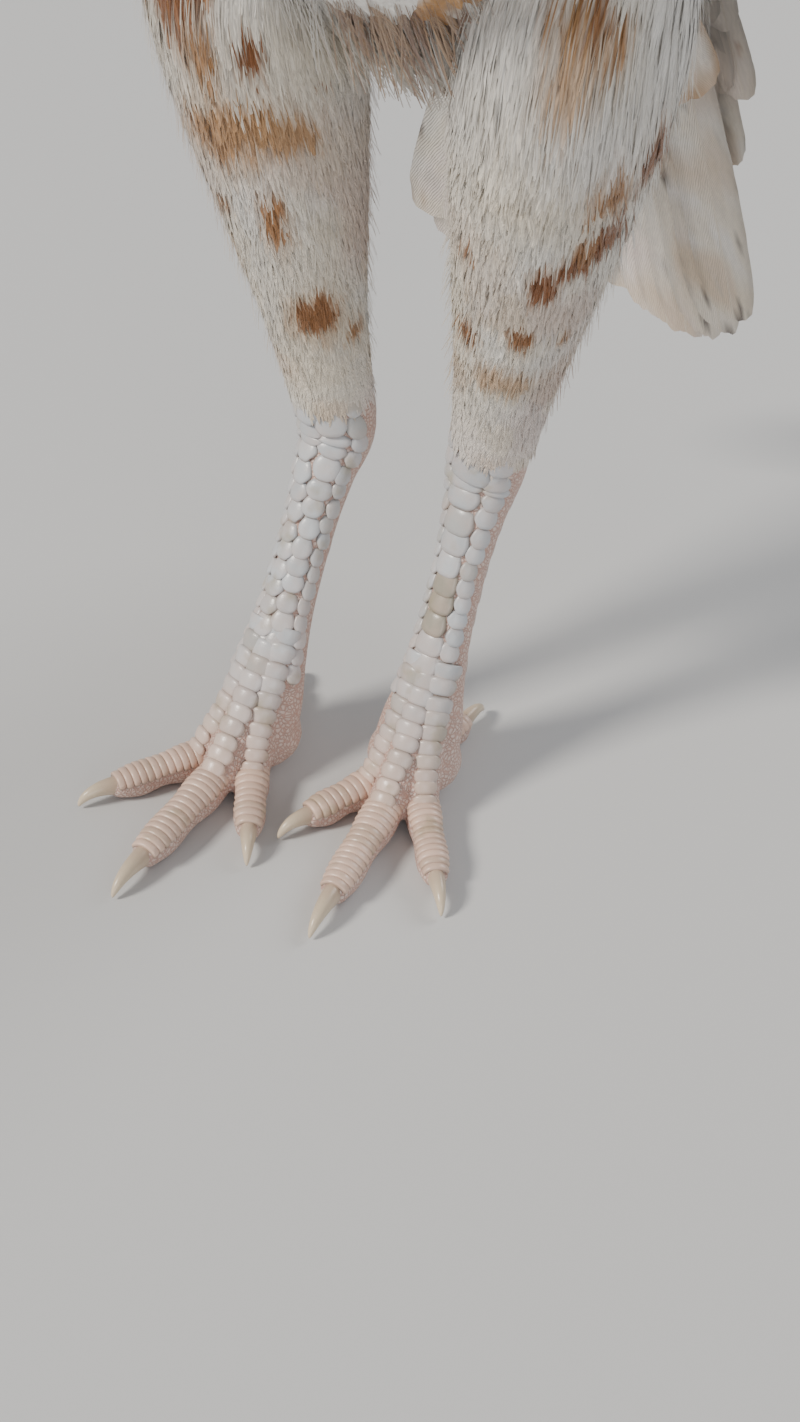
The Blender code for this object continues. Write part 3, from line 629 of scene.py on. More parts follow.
def paint(obj, tint):
    """Give a piece's points their colours."""
    colours = np.ones((len(obj.data.vertices), 4), np.float32)
    colours[:, :3] = tint
    layer = obj.data.color_attributes.new("tint", "FLOAT_COLOR", "POINT")
    layer.data.foreach_set("color", colours.ravel())


def read(obj, field):
    """A field of a piece's points, three values each."""
    values = np.empty(len(obj.data.vertices) * 3, np.float32)
    obj.data.vertices.foreach_get(field, values)
    return values.reshape(-1, 3)


def places_of(obj):
    return read(obj, "co").astype(float)


def move(obj, points):
    obj.data.vertices.foreach_set("co", points.astype(np.float32).ravel())
    obj.data.update()


def grid_quads(count, rows, cols):
    """The quads of count grids of rows by cols points."""
    i, j = np.meshgrid(np.arange(rows - 1), np.arange(cols - 1), indexing="ij")
    a = (i * cols + j).ravel()
    one = np.stack([a, a + 1, a + 1 + cols, a + cols], -1)
    return (one[None] + (np.arange(count) * rows * cols)[:, None, None]).reshape(-1, 4)


def loft(rings):
    """Points and triangles of a closed body through rings, each an array of as many points."""
    count = len(rings[0])
    total = len(rings) * count
    faces = []
    for start in range(0, total - count, count):
        for k in range(count):
            a, b = start + k, start + (k + 1) % count
            faces += [(a, b, b + count), (a, b + count, a + count)]
    for k in range(count):
        faces.append(((k + 1) % count, k, total))
    for k in range(count):
        faces.append((total - count + k, total - count + (k + 1) % count, total + 1))
    return np.vstack([*rings, rings[0].mean(0), rings[-1].mean(0)]), np.array(faces)


def ellipsoid(middle, forward, up, radii, sides=20, rows=12):
    """A closed body, its radii measured forward, to the side and up."""
    forward, up = np.array(forward, float), np.array(up, float)
    side = np.cross(forward, up)
    polar = np.pi * np.linspace(0.03, 0.97, rows + 1)[:, None, None]
    turn = circle(sides)[None, :, None]
    across = side * (radii[1] * np.cos(turn)) + up * (radii[2] * np.sin(turn))
    return loft(np.asarray(middle) - forward * (radii[0] * np.cos(polar)) + across * np.sin(polar))


def merged(bodies):
    """The points and triangles of several bodies as one."""
    points, faces, start = [], [], 0
    for body_points, body_faces in bodies:
        points.append(body_points)
        faces.append(body_faces + start)
        start += len(body_points)
    return np.vstack(points), np.vstack(faces)


def node_body(name):
    """A copy of a CAD node's points and triangles."""
    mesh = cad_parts[name].data
    mesh.calc_loop_triangles()
    faces = np.empty(len(mesh.loop_triangles) * 3, np.int32)
    mesh.loop_triangles.foreach_get("vertices", faces)
    return places_of(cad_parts[name]), faces.reshape(-1, 3)


def remeshed(name, bodies, voxel, smooth, sink, look, slot):
    """One skin over closed bodies that overlap, smoothed and pulled in by sink."""
    obj = new_mesh(name, *merged(bodies), look, slot)
    modifier = obj.modifiers.new("remesh", "REMESH")
    modifier.mode = "VOXEL"
    modifier.voxel_size = voxel
    modifier.use_smooth_shade = True
    soften = obj.modifiers.new("soften", "SMOOTH")
    soften.factor = 0.5
    soften.iterations = smooth
    graph = bpy.context.evaluated_depsgraph_get()
    mesh = bpy.data.meshes.new_from_object(obj.evaluated_get(graph))
    obj.modifiers.clear()
    obj.data = mesh
    mesh.shade_smooth()
    move(obj, places_of(obj) - read(obj, "normal") * sink)
    return obj


class Gathered:
    """Grids, all of one shape, gathered into one piece."""

    def __init__(self):
        self.points, self.tints, self.maps = [], [], {}

    def add(self, points, tint, **maps):
        """One more grid of rows by columns, with its colours and UV maps."""
        self.shape = points.shape[:2]
        self.points.append(points.reshape(-1, 3))
        self.tints.append(tint.reshape(-1, 3))
        for title, places in maps.items():
            self.maps.setdefault(title, []).append(places.reshape(-1, 2))

    def piece(self, name, look, slot):
        """The grids as one mesh piece."""
        faces = grid_quads(len(self.points), *self.shape)
        maps = {title: np.vstack(places) for title, places in self.maps.items()}
        points, tints = np.vstack(self.points), np.vstack(self.tints)
        return new_mesh(name, points, faces, look, slot, tints, maps)


# Small feathers

ROUNDED = 0.3  # How far their normals lean to the sides


def blade(rows, cols, tip):
    """A feather's outline as a grid: u across from -1 to 1, its width by row, and v along."""
    row = np.linspace(0, 1, rows)
    u = np.broadcast_to(np.linspace(-1, 1, cols), (rows, cols))
    width = np.interp(row, (0, 0.2, 0.5, 0.8, 1), (0.3, 0.7, 1, 0.92, 0.6))[:, None]
    v = row[:, None] * (1 - tip * u**2)
    return u.ravel(), (u * width).ravel(), v.ravel()


def plumes(name, points, tint, normals, roots, u, v, shape):
    """A piece of small feathers, a grid each, with roots at places (tube, t, angle).

    On its bake map each feather is a patch at its root's place on the tube's unwrap.
    """
    tube, t, angle = roots
    low, high = tube.t[0], tube.t[-1]
    root = np.stack([np.mod(angle / math.tau, 1.0), (t - low) / (high - low)], -1) * 0.98 + 0.01
    size = 0.003
    patch = np.stack([u * size / 2, np.clip(v, 0, 1) * size], -1)
    vane = np.tile(np.stack([u / 2 + 0.5, v], -1), (len(t), 1))
    maps = {"OFBake": (root[:, None] + patch[None]).reshape(-1, 2), "vane": vane}
    points, tint, normals = (values.reshape(-1, 3) for values in (points, tint, normals))
    faces = grid_quads(len(t), *shape)
    new_mesh(name, points, faces, "down", "plumage", tint, maps, normals)


def coat(
    name, tube, t, angle, length, width, base, rise, rows=5, cols=7, tip=0.3, fray=0.10, stain=None
):
    """Small feathers on a tube, lying towards smaller t, one for each place (t, angle).

    Their roots lie at height base and their tips higher by rise. They are shaded as the smooth
    body under them, each only a little rounded, to look soft.
    """
    count = len(t)
    length, width, base, rise = (
        np.broadcast_to(values, count)[:, None] for values in (length, width, base, rise)
    )
    u, across, v = blade(rows, cols, tip)
    ends = np.tile(RNG.uniform(-fray, 0.6 * fray, (count, cols)), rows)
    v = v * (1 + ends * np.repeat(np.linspace(0, 1, rows), cols) ** 2)
    yaw = RNG.normal(0, 0.10, count)[:, None]
    cos, sin = np.cos(yaw), np.sin(yaw)
    along, side = v * length, across * width / 2
    back, out = along * cos - side * sin, side * cos + along * sin
    places = t[:, None] - back / tube.at(tube.speed, t)[:, None]
    arcs = tube.arc(places, np.broadcast_to(angle[:, None], places.shape))
    turns = angle[:, None] + out / np.maximum(arcs, 0.004)
    lift = base + rise * v**0.8 - 0.07 * width * u**2
    lift = lift + RNG.normal(0, 0.00012, count)[:, None] * v
    points, surface = tube.point(places, turns, lift), tube.point(places, turns)
    probe = 0.001
    out = (tube.point(places, turns, probe) - surface) / probe
    around = unit(tube.point(places, turns + 0.02) - surface)
    normals = unit(out + around * (ROUNDED * u)[None, :, None])
    middle = points.mean(1, keepdims=True)
    tint = markings(middle + 0.6 * (points - middle) + RNG.normal(0, 0.0006, (count, 1, 3)))
    if stain is not None:
        tint = stain(middle, tint)
    tint = tint * RNG.uniform(0.94, 1.04, count)[:, None, None]
    # Painted shade: each feather darker towards its root, where the feathers over it shade it
    tint = tint * (0.88 + 0.12 * ramp(v, 0.1, 0.6))[..., None]
    plumes(name, points, tint, normals, (tube, t, angle), u, v.mean(0), (rows, cols))


def rows_on(tube, start, end, pitch, across):
    """Staggered places (t, angle) on a tube. pitch(t) is between rows and across(t) within one."""
    t, places = start, []
    while t < end:
        width, rear, front = tube.at(tube.radii, t)
        count = max(6, int(math.pi * (width + 0.5 * (rear + front)) / across(t)))
        slide, shift = RNG.uniform(-0.25, 0.25, (2, count))
        turns = (np.arange(count) + 0.5 * (len(places) % 2) + slide) / count * math.tau
        step = pitch(t) / float(tube.at(tube.speed, t))
        places.append((t + shift * step, turns))
        t += step
    return np.hstack(places)


# Skin under the plumage

PAD_T, PAD_THICK, PAD_LOW, PAD_HIGH = np.array(WING_PAD).T


def pad_bulge(share):
    """A shoulder pad's swelling from its lower edge, share 0, to its upper one."""
    return 0.30 + 0.70 * np.sin(math.pi * share) ** 0.7


def wing_pad(hand):
    """The body of a shoulder, thinner at its front than in the solids."""
    rings = []
    share = np.linspace(0, 1, 9)
    for t, thick, low, high in WING_PAD:
        thick = thick - 0.0025 * ramp(t, 0.62, 0.72)
        over = sided(low + (high - low) * share, hand)
        under = sided(high + (low - high) * share, hand)
        outer = WING_TUBE.point(t, over, thick * pad_bulge(share))
        rings.append(np.vstack([outer, WING_TUBE.point(t, under, -0.002)]))
    return loft(rings)


def tail_core():
    """A stub that the tail's feathers grow from."""
    rings = []
    turn = circle(16)[:, None]
    for reach, width, depth in (
        (-0.05, 0.020, 0.016),
        (0.0, 0.022, 0.018),
        (0.03, 0.017, 0.013),
        (0.06, 0.008, 0.006),
    ):
        around = np.array((1, 0, 0)) * (width * np.cos(turn)) + TAIL_OVER * (depth * np.sin(turn))
        rings.append(TAIL_START + TAIL_AXIS * reach + around)
    return loft(rings)


def body_skin():
    """Trunk, neck, thighs, shoulders and the tail's core as one skin."""
    names = ("torso", "neck", "thigh_l", "thigh_r")
    bodies = [node_body(name) for name in names] + [wing_pad(1), wing_pad(-1), tail_core()]
    for hand in (1, -1):
        hip = LEGS[hand].at(LEGS[hand].centre, 3.0)
        bodies.append(ellipsoid(hip, (0, 0, 1), (0, 1, 0), (0.02, 0.016, 0.022)))
    skin = remeshed("body_skin", bodies, BODY_VOXEL, 4, COAT, "skin", "plumage")
    paint(skin, markings(places_of(skin)))
    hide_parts(*names)


# Body feathers: t, length and width
BODY_FEATHERS = (
    (-0.30, 0.030, 0.0140),
    (0.00, 0.027, 0.0130),
    (0.50, 0.024, 0.0120),
    (0.75, 0.022, 0.0092),
    (0.85, 0.018, 0.0062),
    (0.95, 0.012, 0.0042),
    (1.04, 0.007, 0.0028),
)
# Thigh feathers: t, length and width, and how they lie: t, height at the root, height to the tip
THIGH_FEATHERS = (
    (1.10, 0.0080, 0.0018),
    (1.30, 0.0105, 0.0026),
    (1.60, 0.0140, 0.0036),
    (2.00, 0.0170, 0.0046),
    (3.00, 0.0200, 0.0056),
)
THIGH_BASE = ((1.10, 0.0006), (1.22, 0.0002), (1.36, -0.0014), (3.0, -0.0018))
THIGH_RISE = ((1.10, 0.0010), (1.22, 0.0010), (1.36, 0.0019), (2.0, 0.0023), (3.0, 0.0025))


def sized(t, stops, column=1):
    """The values at t of a column of these stops. Their first column is t itself."""
    table = np.array(stops)
    return np.interp(t, table[:, 0], table[:, column])


def rows_of(tube, start, end, stops, down, across):
    """Places for feathers of these sizes, at these shares of their length and width apart."""

    def pitch(t):
        return down * sized(t, stops)

    return rows_on(tube, start, end, pitch, lambda t: across * sized(t, stops, 2))


def outside(points, tubes, depth=0.93):
    """Which points lie outside all these tubes, or no deeper in one than this."""
    free = np.ones(len(points), bool)
    for tube in tubes:
        free &= tube.depth_of(points) > depth
    return free


def under_wing(t, angle):
    """Which places on the trunk a wing covers, with a margin that its feathers run under."""
    lean = np.degrees(np.arcsin(np.sin(angle)))
    low, high = np.interp(t, PAD_T, PAD_LOW) + 9, np.interp(t, PAD_T, PAD_HIGH) - 8
    return (t > 0.10) & (t < 0.735) & (lean > low) & (lean < high)


def body_coat():
    """Contour feathers from the vent to the shoulders, then hackles to the head."""
    ends = (-0.10, 0.24, 0.50, 0.72, 0.90, 1.035)
    for index, (start, end) in enumerate(zip(ends, ends[1:])):
        t, angle = rows_of(TRUNK_TUBE, start, end, BODY_FEATHERS, 0.19, 0.50)
        free = ~under_wing(t, angle) & outside(TRUNK_TUBE.point(t, angle), LEGS.values())
        t, angle = t[free], angle[free]
        scale = RNG.uniform(0.88, 1.12, len(t))
        length, width = (sized(t, BODY_FEATHERS, k) * scale for k in (1, 2))
        rise = np.where(t > 0.8, COAT + 0.0006, COAT + 0.0010)
        cols, fray = (7, 0.10) if t.mean() < 0.8 else (5, 0.14)
        name = f"feathers_body_{index}"
        coat(name, TRUNK_TUBE, t, angle, length, width, -COAT, rise, cols=cols, fray=fray)


def thigh_coat(hand, letter):
    """Soft, hair-like feathers down the thigh, shortest at the hem over the hock."""
    tube = LEGS[hand]
    for index, (start, end) in enumerate(((1.13, 1.62), (1.62, 2.95))):
        t, angle = rows_of(tube, start, end, THIGH_FEATHERS, 0.15, 0.48)
        free = outside(tube.point(t, angle, -0.002), [TRUNK_TUBE], 0.70)
        t, angle = t[free], angle[free]
        scale = RNG.uniform(0.8, 1.2, len(t))
        length, width = (sized(t, THIGH_FEATHERS, k) * scale for k in (1, 2))
        base, rise = sized(t, THIGH_BASE), sized(t, THIGH_RISE)
        name = f"feathers_thigh_{letter}_{index}"
        coat(name, tube, t, angle, length, width, base, rise, 5, 5, 0.5, 0.26)
    t, angle = rows_on(tube, 1.22, 2.9, lambda t: 0.0028, lambda t: 0.0028)
    free = outside(tube.point(t, angle), [TRUNK_TUBE])
    name = f"feathers_wisps_{letter}"
    wisps(name, tube, t[free], angle[free], (0.0070, 0.0125), (0.0012, 0.0042))


def wisps(name, tube, t, angle, lengths, rises, stain=None):
    """Single loose barbs that stand a little off the coat and soften its edge."""
    count = len(t)
    length, rise = RNG.uniform(*lengths, count), RNG.uniform(*rises, count)
    coat(name, tube, t, angle, length, 0.00034, -0.0004, rise, 5, 3, 0.0, 0.0, stain)


def downy(points, tint):
    """Brown-flecked fluff on the belly, grey-brown down at the vent."""
    middle = ramp(-np.abs(points[..., 0]), -0.055, -0.025)
    flecks = ramp(noise(points, 0.011, 3), 0.50, 0.64) * middle
    brown = blend(TAN, RUST, ramp(noise(points, 0.006, 1), 0.3, 0.7))
    tint = blend(tint, brown, 0.8 * flecks)
    return blend(tint, DOWN, 0.7 * ramp(points[..., 1] - CENTRE_Y, 0.085, 0.105))


def belly_coat():
    """Long loose fluff under the belly and round the vent, its tips hanging free."""
    t, angle = rows_on(TRUNK_TUBE, -0.14, 0.36, lambda t: 0.0038, lambda t: 0.0021)
    roots = TRUNK_TUBE.point(t, angle)
    free = (np.sin(angle) < -0.45) & outside(roots, LEGS.values(), 0.96)
    t, angle = t[free], angle[free]
    count = len(t)
    length = RNG.uniform(0.020, 0.032, count)
    hang = ramp(-np.sin(angle), 0.6, 0.95) * ramp(t, 0.0, 0.10) * ramp(-t, -0.36, -0.22)
    rise = RNG.uniform(0.0035, 0.0085, count) + hang * RNG.uniform(0, 0.011, count)
    lay = (length, 0.13 * length, -COAT, rise)
    coat("feathers_belly", TRUNK_TUBE, t, angle, *lay, 6, 5, 0.6, 0.30, downy)
    t, angle = np.repeat(t, 2), np.repeat(angle, 2) + RNG.uniform(-0.03, 0.03, 2 * count)
    wisps("feathers_wisps_belly", TRUNK_TUBE, t, angle, (0.018, 0.032), (0.004, 0.016), downy)


# Wing and tail feathers

VANE_ROWS, VANE_COLS = 26, 13
SPOT = np.array((0.16, 0.13, 0.11))


def vane_outline(square, fray):
    """A large feather's grid: u across from -1 to 1, the half width by row, v along to its tip."""
    row = np.linspace(0, 1, VANE_ROWS)[:, None]
    u = np.broadcast_to(np.linspace(-1, 1, VANE_COLS), (VANE_ROWS, VANE_COLS))
    width = np.interp(row, (0, 0.08, 0.25, 0.6, 0.9, 1), (0.10, 0.45, 0.86, 1, 0.97, 0.86))
    tip = 1 - 0.085 * np.abs(u) ** square * np.clip((row - 0.8) / 0.2, 0, 1)
    edge = np.clip((np.abs(u) - 0.7) / 0.3, 0, 1)
    notch = 1 - edge * RNG.uniform(0, fray, (VANE_ROWS, 1)) * (row > 0.15)
    v = row * tip + np.where(row == 1, RNG.uniform(-0.006, 0.006, u.shape), 0)
    return u, u * width * notch, v


def add_vane(stack, points, u, v, specks, place, rim=0.0):
    """A large feather, white with dark specks and a rim of brown, with painted shade towards its
    root and its edges. Its bake patch is at place.
    """
    # Painted shade: darker towards the root, which the feathers over it cover
    tint = markings(points) * (0.90 + 0.10 * v)[..., None]
    edge = ramp(np.maximum(np.abs(u), v**3) + 0.5 * noise(points, 0.006, 2), 0.85, 1.25) * rim
    tint = blend(tint, TAN * 0.9, edge)
    spot = ramp(noise(points, 0.004, 1), 0.72, 0.80) * ramp(noise(points, 0.02, 2), 0.4, 0.6)
    tint = blend(tint, SPOT, spot * specks)
    # Painted shade: lighter in the middle and darker at the edges, where neighbouring feathers
    # overlap
    tint = tint * (1.04 - 0.24 * ramp(np.abs(u), 0.55, 1.0))[..., None]
    bake = np.stack([place[0] + u * 0.002, place[1] + v * 0.008], -1)
    stack.add(points, tint, OFBake=bake, vane=np.stack([u / 2 + 0.5, v], -1))


def add_wing_vane(stack, hand, root, tip, width, base, slope):
    """A wing feather from root to tip, each (t, degrees on the left), leaning across by slope."""
    u, half, v = vane_outline(2.6, 0.05)
    bow = 0.06 * np.sin(math.pi * v) * (root[1] - tip[1])
    t = root[0] + (tip[0] - root[0]) * v
    turn = sided(root[1] + (tip[1] - root[1]) * v + bow, hand)
    turn = turn + hand * half * width / 2 / np.maximum(WING_TUBE.arc(t, turn), 0.01)
    lift = base + slope * half * width / 2 + 0.0008 * (1 - np.abs(u) ** 1.5)
    place = (0.5 + root[1] / 360, (root[0] - WING[0][0]) / (WING[-1][0] - WING[0][0]))
    add_vane(stack, WING_TUBE.point(t, turn, lift), u, v, 0.3, place)


def wing_feathers(hand, letter):
    """Primaries and secondaries, and two tiers of coverts over them."""
    stack, last = Gathered(), len(FLIGHTS) - 1
    root_t, low, high = FLIGHT_ROOTS
    for k, (tip_t, tip_angle, width) in enumerate(FLIGHTS):
        root = (root_t, low + (high - low) * k / last)
        add_wing_vane(stack, hand, root, (tip_t, tip_angle), width, 0.0010, -FLIGHT_SLOPE)
    for first, final, root_t, count, width, base in (
        (0.150, 0.205, 0.42, 13, 0.0175, COVERT_LIFT - 0.0012),
        (0.235, 0.290, 0.47, 15, 0.0155, COVERT_LIFT + 0.0012),
    ):
        for k in range(count):
            share = k / (count - 1)
            tip_t = first + (final - first) * share + RNG.uniform(-0.006, 0.006)
            root, tip = (root_t, -21 + 76 * share), (tip_t, -16 + 78 * share)
            add_wing_vane(stack, hand, root, tip, width, base, -0.12)
    piece = stack.piece(f"feathers_wing_{letter}", "vane", "plumage")
    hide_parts(f"wing_{letter}")


def shoulder_coat(hand, letter):
    """The small feathers of a shoulder, denser at its front, where they run beyond the pad."""
    places, t = [], 0.29
    while t < 0.779:
        across, pitch = (0.0052, 0.0040) if t > 0.6 else (0.0075, 0.0052)
        behind = t - 0.035 * ramp(t, 0.66, 0.72)
        low, high = np.interp(behind, PAD_T, PAD_LOW) - 2, np.interp(behind, PAD_T, PAD_HIGH) + 1
        arc = float(WING_TUBE.arc(t, math.radians(20)))
        count = max(3, int(math.radians(high - low) * arc / across))
        slide = RNG.uniform(-0.2, 0.2, count)
        share = (np.arange(count) + 0.5 * (len(places) % 2) + slide) / count
        places.append((t + RNG.uniform(-0.004, 0.004, count), low + (high - low) * share))
        t += pitch / float(WING_TUBE.at(WING_TUBE.speed, t))
    t, degrees = np.hstack(places)
    low, high = np.interp(t, PAD_T, PAD_LOW), np.interp(t, PAD_T, PAD_HIGH)
    share = np.clip((degrees - low) / (high - low), 0, 1)
    length = np.interp(t, (0.3, 0.5, 0.75), (0.026, 0.021, 0.013)) * RNG.uniform(0.9, 1.1, len(t))
    width = length * np.interp(t, (0.3, 0.75), (0.56, 0.62))
    front, beyond = ramp(t, 0.66, 0.70), t > 0.755
    top = np.interp(t, PAD_T, PAD_THICK) * pad_bulge(share)
    base = np.where(beyond, 0.0010, top - COAT * (1 - 0.55 * front))
    rise = np.where(beyond, 0.0056, COAT * (1 - 0.2 * front) + 0.0006)
    lay = (length, width, base, rise)
    coat(f"feathers_shoulder_{letter}", WING_TUBE, t, sided(degrees, hand), *lay)


def add_tail_vane(
    stack, root, heading, normal, length, width, specks, droop=0.004, square=2.2, rim=0.0
):
    """A tail feather in a plane, its tip drooping. The tail's core unwraps across and along."""
    across = np.cross(heading, normal)
    u, half, v = vane_outline(square, 0.03)
    points = root + heading * (length * v)[..., None] + across * (half * width / 2)[..., None]
    crown = 0.0010 * (1 - np.abs(u) ** 1.5)
    points = points + normal * (crown - droop * v**2)[..., None]
    gap = root - TAIL_START
    around = math.atan2(gap @ TAIL_OVER, gap[0]) / math.tau
    place = (0.5 + 0.9 * around, 0.2 + 20 * abs(gap @ TAIL_AXIS))
    add_vane(stack, points, u, v, specks, place, rim)


def fanned(out, degrees):
    """The tail's axis turned outwards."""
    turn = math.radians(degrees)
    return TAIL_AXIS * math.cos(turn) + out * math.sin(turn)


def tail_feathers():
    """The roof of the tail in two stacks of broad feathers, with coverts above and below."""
    stack = Gathered()
    base = TAIL_START + TAIL_OVER * TAIL_RIDGE + TAIL_AXIS * 0.010
    broad = (1.0, 0.005, 3.4)
    for hand in (-1, 1):
        side = np.array((hand, 0.0, 0.0))
        out = side * math.cos(TAIL_ROOF) - TAIL_OVER * math.sin(TAIL_ROOF)
        normal = TAIL_OVER * math.cos(TAIL_ROOF) + side * math.sin(TAIL_ROOF)
        for k in range(RECTRICES):
            start = base + out * (0.0055 + 0.0030 * k) + normal * (VANE_PITCH * (RECTRICES - k))
            length = TAIL_LENGTH * (1 - 0.0072 * k * k)
            heading = fanned(out, 3.6 + 2.9 * k)
            add_tail_vane(stack, start, heading, normal, length, TAIL_WIDTH, *broad)
        over = ((4, 0.074, 0.022), (5, 0.056, 0.019), (5, 0.040, 0.017))
        for tier, (count, length, width) in enumerate(over):
            for k in range(count):
                level = RECTRICES + 2.0 + 1.1 * tier + 0.15 * (count - k)
                start = base + out * (0.0035 + 0.0050 * k) + normal * (VANE_PITCH * level)
                heading = fanned(out, 4.0 + 8.0 * k + RNG.uniform(-2, 2)) - normal * 0.05
                start = start - TAIL_AXIS * 0.006 * tier
                add_tail_vane(stack, start, heading, normal, length, width, 0.5)
        under = -TAIL_OVER * math.cos(0.35) + side * math.sin(0.35)
        for k in range(5):
            start = TAIL_START - TAIL_OVER * 0.010 + side * (0.002 + 0.0035 * k) - TAIL_AXIS * 0.004
            heading, length = fanned(side, 2.0 + 7.0 * k), 0.070 - 0.004 * k
            add_tail_vane(stack, start, heading, under, length, 0.020, 0.2, -0.004, rim=0.8)
    ridge = base + TAIL_OVER * (VANE_PITCH * (RECTRICES + 1.6))
    add_tail_vane(stack, ridge, TAIL_AXIS, TAIL_OVER, TAIL_LENGTH, TAIL_WIDTH, *broad)
    for tier, (length, width) in enumerate(((0.072, 0.022), (0.052, 0.020), (0.036, 0.018))):
        start = ridge + TAIL_OVER * (0.0016 + 0.0012 * tier) - TAIL_AXIS * 0.006 * tier
        add_tail_vane(stack, start, TAIL_AXIS, TAIL_OVER, length, width, 0.5)
    piece = stack.piece("feathers_tail", "vane", "plumage")
    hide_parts("tail")


# Legs and feet


def tube_rings(tube, ts, sides, lift=None):
    """Rings round a tube, for a loft, raised by lift(t, angles)."""
    turn = circle(sides)
    rings = []
    for t in ts:
        raised = 0.0 if lift is None else lift(t, turn)
        rings.append(tube.point(np.full(sides, t), turn, raised))
    return rings


def toe_pads(t, turn):
    """How far a toe swells below at its three pads."""
    return 0.0009 * np.abs(np.sin(math.pi * 3 * t)) ** 1.5 * np.clip(-np.sin(turn), 0, 1)


def instep_tube(hand, toe):
    """From the front of the shank down over the foot to a toe."""
    tube, ahead = toe_tube(hand, toe)
    leg = LEGS[hand]
    lean = {"middle": 0.0, "inner": -0.0030, "outer": 0.0030}[toe[0]]
    start = leg.at(leg.centre, 0.36) + np.array((hand * lean, -0.0010, 0.0))
    bend = leg.at(leg.centre, 0.05) + ahead * 0.0065 + np.array((0, 0, 0.0035))
    reach, thick = 0.34, 0.0064
    end = tube.at(tube.centre, reach)
    thin = float(tube.at(tube.radii, reach)[0]) * 0.98
    stations = []
    for share in np.linspace(0, 1, 7):
        place = start * (1 - share) ** 2 + bend * 2 * share * (1 - share) + end * share**2
        stations.append((share, *place, *[thick + (thin - thick) * share] * 3))
    return Tube(stations, side=tube.side[0], samples=120)


def foot_skin(hand, letter):
    """The shank, the foot and its toes as one skin, with webs between the front toes."""
    leg = LEGS[hand]
    joint = leg.centre[0]
    bodies = [
        loft(tube_rings(leg, np.linspace(0.0, SHANK_SKIN_TOP, 50), 28)),
        ellipsoid(joint - (0, 0, 0.002), (0, -1, 0), (0, 0, 1), (0.0150, 0.0160, 0.0118)),
    ]
    headings = {}
    for toe in TOES:
        tube, ahead = toe_tube(hand, toe)
        headings[toe[0]] = ahead
        rings = tube_rings(tube, np.linspace(0.0, 1.0, 44), 20, toe_pads)
        rings.append(tube.point(np.full(20, 1.0), circle(20), -0.0018) + ahead * 0.0022)
        bodies.append(loft(rings))
    for toe in TOES[:3]:
        bodies.append(loft(tube_rings(instep_tube(hand, toe), np.linspace(0.0, 1.0, 24), 20)))
    for name in ("inner", "outer"):
        ahead = unit(headings["middle"] + headings[name])
        place = joint * (1, 1, 0) + ahead * 0.0150 + (0, 0, 0.0052)
        bodies.append(ellipsoid(place, ahead, (0, 0, 1), (0.0085, 0.0065, 0.0028)))
    skin = remeshed(f"leg_{letter}", bodies, LEG_VOXEL, 3, 0.0, "leg", "scale")
    places = places_of(skin)
    places[:, 2] = np.maximum(places[:, 2], 0.0)
    move(skin, places)
    nodes = [f"shank_{letter}", f"foot_{letter}"] + [f"toe_{letter}_{toe[0]}" for toe in TOES]
    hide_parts(*nodes)


PEARL = np.array((0.53, 0.56, 0.59))
OLIVE = np.array((0.30, 0.25, 0.16))
ROSY = np.array((0.80, 0.53, 0.39))
GROOVE = np.array((0.13, 0.09, 0.06))


def add_scute(
    plates, tube, band, t, angle, half_t, half_angle, height, hexagon, rosy, overlap, soil=0.0
):
    """A domed plate round (t, angle), its lower end lying over the next by overlap.

    The tube's band of the bake map is (start, height).
    """
    v = np.linspace(-1, 1, 9)[:, None]
    u = np.broadcast_to(np.linspace(-1, 1, 13), (9, 13))
    corner = np.clip((np.abs(u) - 0.35) / 0.65, 0, 1) ** 2
    along = t + half_t * v * (1 - np.where(v < 0, 0.34, 0.10) * corner)
    around = angle + half_angle * u * (1 - hexagon * np.abs(v) ** 1.8)
    rim_v = np.clip((1 - np.abs(v)) / 0.34, 0, 1)
    rim_u = np.clip((1 - np.abs(u)) / 0.26, 0, 1)
    dome = np.sqrt(np.clip(1 - (1 - rim_v) ** 2, 0, 1) * np.clip(1 - (1 - rim_u) ** 2, 0, 1))
    crown = 1 + 0.5 * (1 - v**2) * (1 - u**2)
    lift = height * (dome * crown - overlap * v) - 0.20 * height
    base = blend(PEARL, ROSY, rosy) * RNG.uniform(0.86, 1.06)
    base = blend(base, OLIVE, max(soil, 0.30 * float(ramp(RNG.uniform(), 0.80, 1.0))))
    groove = blend(GROOVE, base, 0.05 + 0.30 * rosy)
    place = (angle / math.tau % 1.0 * 0.98 + 0.01, band[0] + band[1] * t)
    bake = np.stack([place[0] + 0.0015 * u, place[1] + 0.0015 * v * np.ones_like(u)], -1)
    tint = blend(groove, base, ramp(dome, 0.05, 0.62))
    plates.add(tube.point(along, around, lift), tint, OFBake=bake)


# Columns of shank scutes: angle, half width in radians, how many, where they start, how hexagonal
SHANK_COLUMNS = {
    1: (
        (-146, 0.36, 17, 0.50, 0.48),
        (-48, 0.42, 16, 0.50, 0.48),
        (-99, 0.62, 13, 0.00, 0.22),
        (62, 0.42, 14, 0.25, 0.20),
        (108, 0.42, 14, 0.75, 0.20),
    ),
    -1: (
        (-152, 0.34, 17, 0.50, 0.50),
        (-32, 0.38, 17, 0.00, 0.50),
        (-70, 0.48, 15, 0.50, 0.48),
        (-114, 0.50, 15, 0.00, 0.48),
        (62, 0.42, 14, 0.25, 0.20),
        (108, 0.42, 14, 0.75, 0.20),
    ),
}
# The stain on the left shank: its column and from where to where
STAIN = (-99, 0.44, 0.64)


